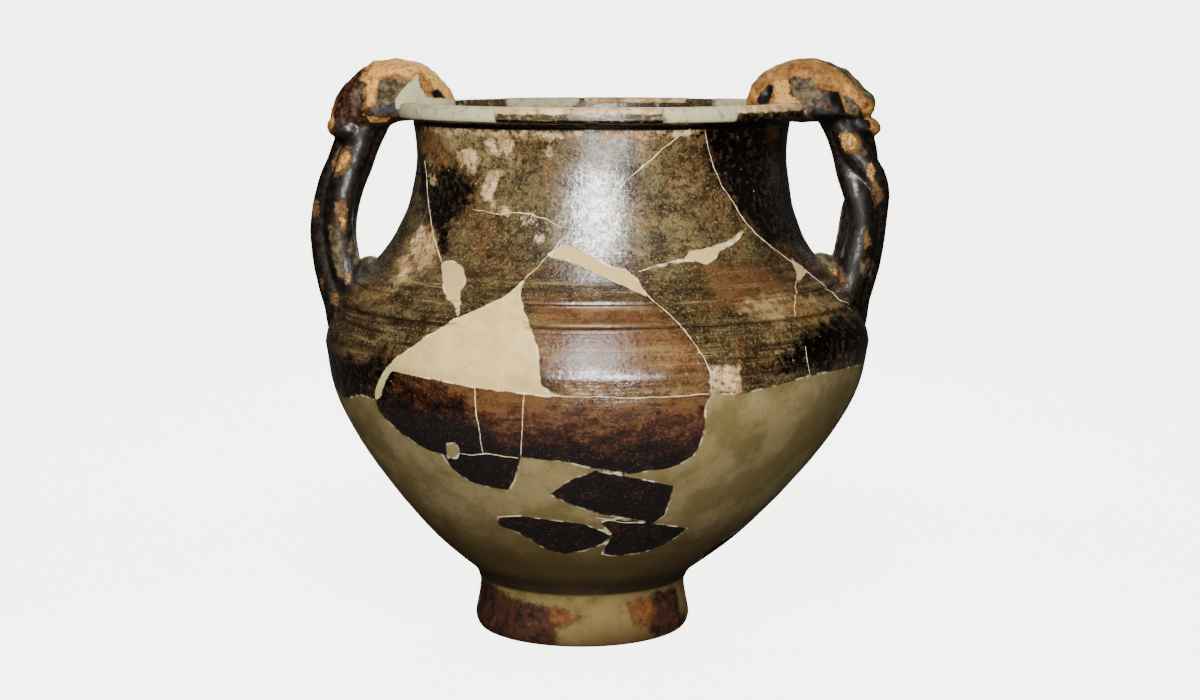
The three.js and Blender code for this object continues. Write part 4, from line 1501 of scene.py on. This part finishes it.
@dataclass
class Handle:
    """One handle: three twisted coils, the clay at its root and the worn lump over the lip."""

    side: Side
    wall: Wall
    sight: Sight
    mesher: Mesher
    start: float
    twist: float
    twist_span: tuple
    lie: float
    tilt: float
    slump: float
    slim: float
    root: tuple
    knobs: list
    hollows: list
    marks: list
    areas: list
    coil_radius: float = 6.2
    coil_top_radius: float = 4.9
    coil_lay: float = 4.2
    set_in: float = 3.2
    bow: float = 8.0
    lump_rise: float = 16.4
    lump_width: float = 29.0
    lump_overhang: float = 13.6
    lump_brow: float = 15.6
    lump_drop: float = 7.6
    root_rise: float = 12.5
    joint_sink: float = 2.6
    hollow_depth: float = 2.2
    hollow_edge: float = 1.1
    voxel: float = 0.5
    grain: Grain = Grain(47)
    PAINTED = (Patch.TAN, Patch.WORN, Patch.HOLLOW, Patch.BLACK, Patch.RIM_FILL)
    PIXEL = 0.38
    line_curve: tuple = ((0.01, 1.05), (0.09, 0.84), (0.18, 0.66), (0.26, 0.41), (0.36, 0.15),
                         (0.5, 0), (0.62, 0.14), (0.73, 0.5), (0.82, 0.88), (0.9, 1.25), (0.965, 1.65))

    def line(self, count: int) -> np.ndarray:
        """The handle's middle line on the right-hand side."""
        reach = self.wall.belly_radius - self.set_in
        rise = self.wall.rim_level - self.wall.belly_level
        points = [(reach - self.bow * back, 0, self.wall.belly_level + rise * up)
                  for up, back in self.line_curve]
        return curve_through(points, count, 0.5)

    def leaning(self, places: np.ndarray) -> np.ndarray:
        """Places moved with the vessel's lean."""
        places = places.copy()
        places[:, 0] += self.wall.lean(places[:, 2])
        return places

    def coil(self, turn: int, steps: int = 110, sides: int = 20) -> tuple[np.ndarray, list]:
        """One coil of clay.

        Args:
            turn: Which of the three.
            steps: Rings along it.
            sides: Points round it.

        Returns:
            Its points and faces.
        """
        line = self.line(steps)
        share = np.linspace(0, 1, steps + 1)
        along = unit(np.gradient(line, axis=0))
        out = np.stack([along[:, 2], along[:, 1] * 0, -along[:, 0]], axis=1)
        turned = self.twist * smoothstep(share, *self.twist_span)
        angle = np.radians(self.start + 120 * turn + turned)
        centre = line + out * (np.cos(angle) * self.coil_lay)[:, None]
        centre[:, 1] += np.sin(angle) * self.coil_lay
        centre[:, 0] = (centre[:, 0] + self.lie * smoothstep(share, 0.5, 0.8)) * self.side.value
        along = unit(np.gradient(centre, axis=0))
        across = unit(np.array([0, 1, 0]) - along * along[:, 1:2])
        third = np.cross(across, along)
        thick = self.coil_radius + (self.coil_top_radius - self.coil_radius) * share
        turn_by = np.linspace(0, 2 * math.pi, sides, endpoint=False)
        ring = across[:, None] * np.cos(turn_by)[None, :, None]
        ring = ring + third[:, None] * np.sin(turn_by)[None, :, None]
        places = (centre[:, None] + ring * thick[:, None, None]).reshape(-1, 3)
        faces = []
        for k in range(steps):
            for s in range(sides):
                a, b = k * sides + s, k * sides + (s + 1) % sides
                faces.append((a, b, b + sides, a + sides))
        faces.append(tuple(reversed(range(sides))))
        faces.append(tuple(range(steps * sides, (steps + 1) * sides)))
        return self.leaning(places), faces

    @staticmethod
    def globe(rings: int = 40, sides: int = 48) -> tuple[np.ndarray, list]:
        """A round ball of radius 1 with its poles up and down."""
        tall = np.linspace(0, math.pi, rings + 1)[1:-1]
        turn = np.linspace(0, 2 * math.pi, sides, endpoint=False)
        t, u = np.meshgrid(tall, turn, indexing="ij")
        places = np.stack([np.sin(t) * np.cos(u), np.sin(t) * np.sin(u), -np.cos(t)], axis=2)
        places = np.vstack([places.reshape(-1, 3), [[0, 0, -1], [0, 0, 1]]])
        return places, Vessel.faces(len(tall), sides)

    @staticmethod
    def tilted(places: np.ndarray, degrees: float) -> np.ndarray:
        """Places turned about Y."""
        c, s = math.cos(math.radians(degrees)), math.sin(math.radians(degrees))
        return np.stack([places[:, 0] * c + places[:, 2] * s, places[:, 1],
                         places[:, 2] * c - places[:, 0] * s], axis=1)

    def ball(self, centre: tuple, size: tuple, tilt: float) -> tuple[np.ndarray, list]:
        """A ball drawn out along three axes, turned and set in place."""
        places, faces = self.globe()
        places = self.tilted(places * np.array(size), tilt) + np.array(centre)
        return self.leaning(places), faces

    def lump_frame(self) -> tuple[float, float, np.ndarray]:
        """The lump's middle, the level of its base and its three half sizes."""
        inner = self.wall.mouth_radius - self.lump_overhang
        outer = self.line(40)[-1, 0] + self.lump_brow
        base = self.wall.rim_level - self.lump_drop * 0.5
        size = np.array([(outer - inner) / 2, self.lump_width / 2,
                         self.wall.rim_level + self.lump_rise - base])
        return (inner + outer) / 2, base, size

    def lump(self) -> tuple[np.ndarray, list]:
        """The dome over the lip."""
        middle, base, size = self.lump_frame()
        side = self.side.value
        places, faces = self.globe(64, 80)
        places = places * size
        rise = np.maximum(places[:, 2], 0) / size[2]
        places[:, 0] = places[:, 0] * (1 - self.slim * rise) - side * self.slump * size[2] * rise
        places[:, 2] *= np.where(places[:, 2] < 0, self.lump_drop * 0.5 / size[2], 1)
        places = self.tilted(places, side * self.tilt) + np.array([side * middle, 0, base])
        return self.leaning(places), faces

    def forms(self) -> list:
        """All the clay forms that are pressed together into the handle."""
        middle = self.lump_frame()[0]
        side = self.side.value
        out, up = self.root
        forms = [self.coil(turn) for turn in range(3)] + [self.lump()]
        for (across, rise), size, tilt in self.knobs:
            centre = (side * (middle + across), 0, self.wall.rim_level + rise)
            forms.append(self.ball(centre, size, side * tilt))
        size = (self.root_rise * 0.72, self.coil_radius + self.coil_lay * 0.6, self.root_rise)
        centre = (side * out, 0, self.wall.step_level + up - self.root_rise * 0.45)
        forms.append(self.ball(centre, size, side * -24))
        return forms

    def pressed(self) -> tuple[np.ndarray, np.ndarray]:
        """The forms pressed into one skin.

        Returns:
            Its points in millimetres, and its faces as quads.
        """
        places, faces, first = [], [], 0
        for block, rows in self.forms():
            places.append(block)
            faces.extend(tuple(k + first for k in row) for row in rows)
            first += len(block)
        rough = bpy.data.meshes.new("rough_handle")
        rough.from_pydata(np.vstack(places) * MM, [], faces)
        rough.update()
        holder = linked("rough_handle", rough)
        melt = holder.modifiers.new("melt", "REMESH")
        melt.mode = "VOXEL"
        melt.voxel_size = self.voxel * MM
        shown = holder.evaluated_get(bpy.context.evaluated_depsgraph_get()).to_mesh()
        points = np.empty(len(shown.vertices) * 3)
        shown.vertices.foreach_get("co", points)
        quads = np.empty(len(shown.polygons) * 4, np.int64)
        shown.polygons.foreach_get("vertices", quads)
        bpy.data.objects.remove(holder, do_unlink=True)
        bpy.data.meshes.remove(rough)
        return points.reshape(-1, 3) / MM, quads.reshape(-1, 4)

    @staticmethod
    def smoothed(places: np.ndarray, quads: np.ndarray, rounds: int) -> np.ndarray:
        """Places moved to the middle of their neighbours.

        Args:
            places: Points.
            quads: Faces that say which are neighbours.
            rounds: How many times.

        Returns:
            The moved points.
        """
        a = np.concatenate([quads[:, k] for k in range(4)])
        b = np.concatenate([quads[:, (k + 1) % 4] for k in range(4)])
        start, end = np.concatenate([a, b]), np.concatenate([b, a])
        count = np.maximum(np.bincount(start, minlength=len(places)), 1)
        for _ in range(rounds):
            sums = [np.bincount(start, places[end, k], len(places)) for k in range(3)]
            places = np.stack([total / count for total in sums], axis=1)
        return places

    @staticmethod
    def normals(places: np.ndarray, quads: np.ndarray) -> np.ndarray:
        """The way each point of a skin faces."""
        cross = np.cross(places[quads[:, 2]] - places[quads[:, 0]],
                         places[quads[:, 3]] - places[quads[:, 1]])
        way = np.stack([sum(np.bincount(quads[:, k], cross[:, axis], len(places)) for k in range(4))
                        for axis in range(3)], axis=1)
        return unit(way)

    def sculpt(self, places: np.ndarray, quads: np.ndarray) -> np.ndarray:
        """Wears the skin: flank hollows, marks read from the photograph and small unevenness.

        Args:
            places: The skin's points.
            quads: Its faces.

        Returns:
            The worn points.
        """
        way = self.normals(places, quads)
        middle, base, size = self.lump_frame()
        side = self.side.value
        depth = np.zeros(len(places))
        for (across, rise), radii in self.hollows:
            out = side * (middle + across) + self.wall.neck_offset
            centre = np.array([out, 0, self.wall.rim_level + rise])
            flank = size[1] * math.sqrt(1 - (across / size[0]) ** 2 - ((centre[2] - base) / size[2]) ** 2)
            for hand in (-1, 1):
                gap = (places - centre - np.array([0, hand * flank, 0])) / np.array(radii)
                depth -= self.hollow_depth * np.exp(-(gap**2).sum(axis=1) * self.hollow_edge)
        tree = BVHTree.FromPolygons((places * MM).tolist(), quads.tolist())
        for mark in self.marks:
            spot = self.sight.on_piece(tree, mark.pixel)
            if spot is None:
                continue
            for mirror in (1, -1):
                gap = np.linalg.norm(places - spot * np.array([1, mirror, 1]), axis=1) / mark.reach
                depth += mark.height * np.exp(-(gap**2))
        upper = smoothstep(places[:, 2], self.wall.neck_top - 8, self.wall.rim_level + 2)
        depth += upper * (self.grain.at(places, 4.2) * 0.5 + self.grain.at(places, 2.0) * 0.28)
        depth += self.grain.at(places, 7.5) * 0.22 + self.grain.at(places, 2.6) * 0.08 - 0.15
        return places + way * depth[:, None]

    def held_out(self, places: np.ndarray) -> np.ndarray:
        """Keeps the clay that runs into the wall from showing inside the bowl."""
        axis = self.wall.lean(places[:, 2])
        x, y = places[:, 0] - axis, places[:, 1]
        far = np.maximum(np.hypot(x, y), 1e-6)
        least = self.wall.radius(places[:, 2]) - self.joint_sink
        grow = np.where(places[:, 2] < self.wall.neck_top - 2, np.maximum(least / far, 1), 1)
        return np.stack([x * grow + axis, y * grow, places[:, 2]], axis=1)

    def build(self, finish: bpy.types.Material) -> bpy.types.Object:
        """Builds, wears, paints and dresses the handle.

        Args:
            finish: The handles' material.

        Returns:
            The handle.
        """
        places, quads = self.pressed()
        places = self.smoothed(places, quads, 5)
        places = self.sculpt(places, quads)
        places = self.held_out(places)
        made = self.mesher.piece(f"handle_{self.side.name.lower()}", places, quads.tolist())
        way = self.normals(places, quads)
        swell = ((places - self.smoothed(places, quads, 14)) * way).sum(axis=1)
        lift = 0.22 * smoothstep(places[:, 2], self.wall.neck_top - 6, self.wall.rim_level)
        self.mesher.paint(made, {
            Patch.CREST: np.clip(0.5 + swell / 0.5 + lift, 0, 1),
            **{patch: self.covered(places, patch) for patch in self.PAINTED},
        })
        self.mesher.settle(made, finish)
        return made

    def covered(self, places: np.ndarray, patch: Patch) -> np.ndarray:
        """Signed distance to one kind of area, in millimetres at the picture's scale.

        The far side of the handle, which the photograph doesn't show, takes the same areas mirrored.

        Args:
            places: The handle's points.
            patch: The kind of area.

        Returns:
            One distance for each point.
        """
        gap = places * np.array([1, -1, 1]) * (places[:, 1:2] > 0) + places * (places[:, 1:2] <= 0)
        gap = gap - self.sight.eye
        deep = gap @ self.sight.ahead
        across = self.sight.middle[0] + self.sight.focal * (gap @ self.sight.right) / deep
        down = self.sight.middle[1] - self.sight.focal * (gap @ self.sight.up) / deep
        best = np.full(len(places), -20.0)
        for area in self.areas:
            if area.patch is patch:
                shape = np.array(area.corners, float)
                outline = Outline(shape[:, 0], shape[:, 1])
                best = np.maximum(best, outline.distance(across, down, np.ones(len(places))) * self.PIXEL)
        return best


def left_handle(wall: Wall, sight: Sight, mesher: Mesher) -> Handle:
    """The left handle, whose coils lie nearly straight."""
    return Handle(
        Side.LEFT, wall, sight, mesher, start=105, twist=40, twist_span=(0, 1), lie=-0.7, tilt=3,
        slump=0.07, slim=0.13, root=(87.5, 1.5),
        knobs=[((17, -9.6), (8.2, 10.5, 5), -8), ((8, -5), (13, 12, 5), 4)],
        hollows=[((3, 7), (7.5, 3, 5)), ((12.5, 1.5), (4, 2.6, 5.5))],
        marks=[Mark((390, 92), 4.0, -1.2), Mark((370, 96), 2.2, 1.2), Mark((368, 108), 2.2, 1.0),
               Mark((352, 96), 3.0, 0.8), Mark((344, 110), 2.6, -0.8), Mark((376, 118), 2.2, 0.9),
               Mark((440, 94), 2.0, -0.8), Mark((332, 132), 2.2, 0.8), Mark((356, 112), 1.8, -0.8)],
        areas=[
            Area(Patch.TAN, [(362, 70), (380, 50), (420, 48), (450, 64), (466, 90), (462, 104), (426, 100),
                             (418, 74), (412, 81), (400, 82), (392, 78), (380, 80), (378, 92), (374, 104),
                             (362, 110), (364, 94), (366, 84), (360, 80)]),
            Area(Patch.TAN, [(322, 110), (326, 96), (334, 90), (337, 98), (334, 112), (336, 122), (330, 132),
                             (322, 136)]),
            Area(Patch.HOLLOW, [(352, 234), (370, 232), (384, 246), (372, 266), (354, 264), (348, 250)]),
            Area(Patch.WORN, [(380, 52), (420, 48), (450, 64), (466, 90), (462, 104), (440, 98), (430, 82),
                              (421, 72), (408, 76), (394, 74), (376, 76), (366, 78)]),
            Area(Patch.WORN, [(366, 80), (377, 79), (377, 92), (370, 106), (365, 104), (368, 92)]),
            Area(Patch.WORN, [(364, 115), (376, 118), (390, 117), (388, 122), (372, 122)]),
            Area(Patch.HOLLOW, [(379, 81), (390, 78), (400, 82), (409, 82), (402, 92), (397, 103), (388, 106),
                                (380, 99)]),
            Area(Patch.BLACK, [(431, 92), (437, 89), (446, 98), (434, 99)]),
            Area(Patch.BLACK, [(384, 106), (396, 102), (398, 112), (388, 114), (376, 112)]),
            Area(Patch.RIM_FILL, [(396, 99), (402, 90), (411, 81), (418, 73), (420, 87), (427, 98), (456, 99),
                                  (456, 106), (424, 110), (396, 109)]),
            Area(Patch.WORN, [(342, 154), (349, 152), (350, 156), (340, 171), (335, 172), (335, 165)]),
            Area(Patch.TAN, [(340, 147), (352, 147), (353, 160), (342, 176), (333, 178), (332, 162)]),
            Area(Patch.TAN, [(312, 199), (319, 201), (318, 215), (313, 216)]),
            Area(Patch.WORN, [(341, 212), (344, 213), (345, 221), (342, 226), (340, 219)]),
            Area(Patch.TAN, [(335, 202), (343, 199), (347, 208), (347, 224), (342, 234), (337, 224)]),
            Area(Patch.HOLLOW, [(328, 224), (336, 228), (342, 238), (343, 262), (346, 278), (338, 276),
                                (332, 256)]),
            Area(Patch.WORN, [(346, 273), (351, 273), (350, 281), (346, 284)]),
            Area(Patch.TAN, [(330, 294), (339, 292), (341, 302), (334, 306)]),
            Area(Patch.TAN, [(320, 279), (323, 280), (324, 290), (321, 290)]),
        ],
    )


def right_handle(wall: Wall, sight: Sight, mesher: Mesher) -> Handle:
    """The right handle, whose coils turn a third of the way round near its top."""
    return Handle(
        Side.RIGHT, wall, sight, mesher, start=22, twist=-120, twist_span=(0.48, 0.88), lie=1.9, tilt=0,
        slump=0.1, slim=0, root=(86, 3),
        knobs=[((18.2, -8.2), (9, 8, 4.4), 14), ((17.6, -0.5), (7.2, 11, 6), 0)],
        hollows=[((-1, 7), (7.5, 3, 5)), ((11.5, 2.5), (4.4, 2.6, 5))],
        marks=[Mark((767, 92), 2.2, -1.4), Mark((802, 92), 3.6, -1.0), Mark((830, 96), 2.8, 0.8),
               Mark((840, 106), 2.0, 1.0), Mark((852, 100), 2.4, -0.8), Mark((846, 120), 2.6, -1.0),
               Mark((870, 112), 2.4, 0.9), Mark((862, 98), 2.2, 0.7), Mark((816, 88), 1.8, 0.8),
               Mark((786, 88), 1.8, 0.7)],
        areas=[
            Area(Patch.TAN, [(730, 110), (742, 92), (764, 74), (790, 50), (830, 50), (862, 70), (888, 96),
                             (890, 136), (874, 136), (866, 122), (860, 106), (850, 97), (830, 91), (818, 88),
                             (810, 78), (790, 78), (780, 84), (784, 102), (800, 112), (794, 118), (772, 112),
                             (742, 112)]),
            Area(Patch.WORN, [(776, 82), (788, 80), (790, 94), (800, 104), (806, 112), (790, 112), (780, 104),
                              (774, 96)]),
            Area(Patch.HOLLOW, [(790, 80), (810, 78), (818, 88), (824, 100), (818, 108), (804, 104),
                                (793, 96)]),
            Area(Patch.HOLLOW, [(842, 99), (852, 99), (859, 108), (856, 117), (846, 114)]),
            Area(Patch.HOLLOW, [(814, 52), (836, 57), (851, 66), (862, 80), (874, 94), (876, 104), (868, 100),
                                (856, 88), (846, 76), (832, 66), (818, 60)]),
            # Painted shade over dark slip: the slit in the lump's front.
            Area(Patch.BLACK, [(757, 98), (763, 90), (769, 84), (774, 86), (772, 95), (770, 104),
                               (760, 105)]),
            Area(Patch.WORN, [(765, 92), (767, 91), (766, 104), (763, 104)]),
            # Painted shade over black slip: the crevice in the lump and the row under its overhang.
            Area(Patch.BLACK, [(829, 91), (838, 92), (843, 102), (846, 114), (838, 112), (831, 104)]),
            Area(Patch.BLACK, [(806, 112), (820, 108), (840, 114), (856, 118), (868, 120), (872, 128),
                               (846, 128), (820, 124)]),
            Area(Patch.WORN, [(837, 94), (842, 98), (847, 112), (842, 110)]),
            Area(Patch.WORN, [(840, 136), (850, 134), (857, 140), (853, 149), (846, 150), (841, 143)]),
            Area(Patch.TAN, [(842, 133), (858, 134), (862, 144), (868, 155), (858, 155), (848, 152),
                             (840, 145)]),
            Area(Patch.WORN, [(866, 164), (872, 163), (875, 172), (872, 180), (867, 176)]),
            Area(Patch.TAN, [(872, 182), (880, 184), (882, 196), (875, 208), (871, 194)]),
            Area(Patch.TAN, [(863, 230), (867, 230), (871, 244), (865, 248)]),
            Area(Patch.HOLLOW, [(860, 261), (870, 258), (874, 264), (870, 275), (864, 278), (860, 272)]),
            Area(Patch.WORN, [(826, 270), (838, 269), (838, 275), (827, 276)]),
            Area(Patch.TAN, [(822, 268), (842, 266), (848, 284), (838, 290), (826, 280)]),
            Area(Patch.HOLLOW, [(800, 246), (822, 246), (838, 260), (836, 282), (812, 284), (796, 262)]),
        ],
    )


@dataclass(frozen=True)
class StageFinish:
    """A plain pale stage that keeps its own brightness."""

    name: str
    pale: Colour = Colour(238, 237, 234)
    lit: Colour = Colour(126, 125, 124)
    tint: Colour = Colour(164, 163, 161)
    glow: float = 6.0

    def make(self) -> bpy.types.Material:
        """Builds the material."""
        n = Nodes(self.name)
        colour = n.blend(n.noise(200, 2), self.tint, self.lit)
        n.put(n.shader.inputs["Emission Color"], self.pale)
        n.shader.inputs["Emission Strength"].default_value = self.glow
        return n.finish(colour, 0.9, n.noise(4, 2), 0.02)


@dataclass
class Studio:
    """The plain floor, the plain backdrop and the plain soft light."""

    reach: float = 40.0
    middle: Vector = field(default_factory=lambda: Vector((0, 0, 0.12)))
    front: tuple = (-2.0, 28.0, 0.55, 7.2, 0.19, 0.46)
    low: tuple = (3.0, -7.0, 0.55, 2.6, 0.3, 0.14)
    side: tuple = (-62.0, 0.0, 1.2, 3.2, 0.9, 0.9)
    high: tuple = (-2.0, 68.0, 1.0, 1.6, 0.2, 0.18)
    behind: tuple = (178.0, 26.0, 0.7, 5.0, 0.26, 0.5)
    left: tuple = (-132.0, 24.0, 1.6, 9.0, 1.6, 1.0)
    right: tuple = (132.0, 24.0, 1.6, 10.0, 1.6, 1.0)
    air: float = 0.03
    floor_gap: float = 0.0002

    def build(self) -> None:
        """Builds the floor, the backdrop, the lights and the dim surroundings."""
        half = self.reach
        self.stage("floor", [(-half, -half, 0), (half, -half, 0), (half, half, 0), (-half, half, 0)],
                   [(0, 1, 2, 3)], StageFinish("studio_floor").make())
        places, faces = Handle.globe(24, 32)
        self.stage("backdrop", places * self.reach * 0.9, [tuple(reversed(f)) for f in faces],
                   StageFinish("studio_backdrop").make())
        for name in ("front", "low", "high", "behind"):
            self.panel(name, getattr(self, name))
        for name in ("side", "left", "right"):
            self.panel(name, getattr(self, name)).visible_glossy = False
        world = bpy.data.worlds.new("surroundings")
        world.use_nodes = True
        world.node_tree.nodes["Background"].inputs["Color"].default_value = (1, 1, 1, 1)
        world.node_tree.nodes["Background"].inputs["Strength"].default_value = self.air
        bpy.context.scene.world = world

    def stage(self, name: str, places: list, faces: list, finish: bpy.types.Material) -> None:
        """A plain stage surface that neither lights the vessel nor shows in its gloss.

        Args:
            name: Its name.
            places: Its points, in metres.
            faces: Its faces.
            finish: Its material.
        """
        mesh = bpy.data.meshes.new(name)
        mesh.from_pydata(list(places), [], faces)
        mesh.materials.append(finish)
        made = linked(name, mesh)
        made.location = (0, 0, -self.floor_gap)
        made.visible_diffuse = made.visible_glossy = False
        made.visible_shadow = name == "floor"
        made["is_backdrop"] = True

    def panel(self, name: str, spot: tuple) -> bpy.types.Object:
        """One soft oval light that faces the vessel.

        Args:
            name: Its name.
            spot: Its angle round the vessel and its rise in degrees, its distance in metres, its
                power in watts, and its width and height in metres.

        Returns:
            The light.
        """
        turn, rise, distance, power, width, height = spot
        way = Vector((math.sin(math.radians(turn)) * math.cos(math.radians(rise)),
                      -math.cos(math.radians(turn)) * math.cos(math.radians(rise)),
                      math.sin(math.radians(rise))))
        lamp = bpy.data.lights.new(name, "AREA")
        lamp.shape = "ELLIPSE"
        lamp.size, lamp.size_y = width, height
        lamp.energy = power
        made = linked(name, lamp)
        made.location = self.middle + way * distance
        made.rotation_euler = (-way).to_track_quat("-Z", "Y").to_euler()
        made.visible_camera = False
        return made


def corners() -> list:
    """The shown object's box as plain numbers."""
    return [list(map(float, corner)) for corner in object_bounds()]


def main() -> None:
    """Builds the vessel, its joins, both handles, the floor, the lights and the camera."""
    logging.basicConfig(level=logging.INFO, format="%(name)s: %(message)s")
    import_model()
    mesher = Mesher(*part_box(NODE))
    wall = Wall()
    sight = Sight(wall)
    sight.camera()
    Vessel(wall, sight, mesher).build(WallFinish().make())
    Joins(wall, sight, mesher).build(JoinFinish().make())
    handle_finish = HandleFinish().make()
    left_handle(wall, sight, mesher).build(handle_finish)
    right_handle(wall, sight, mesher).build(handle_finish)
    Studio().build()


if __name__ == "__main__":
    main()
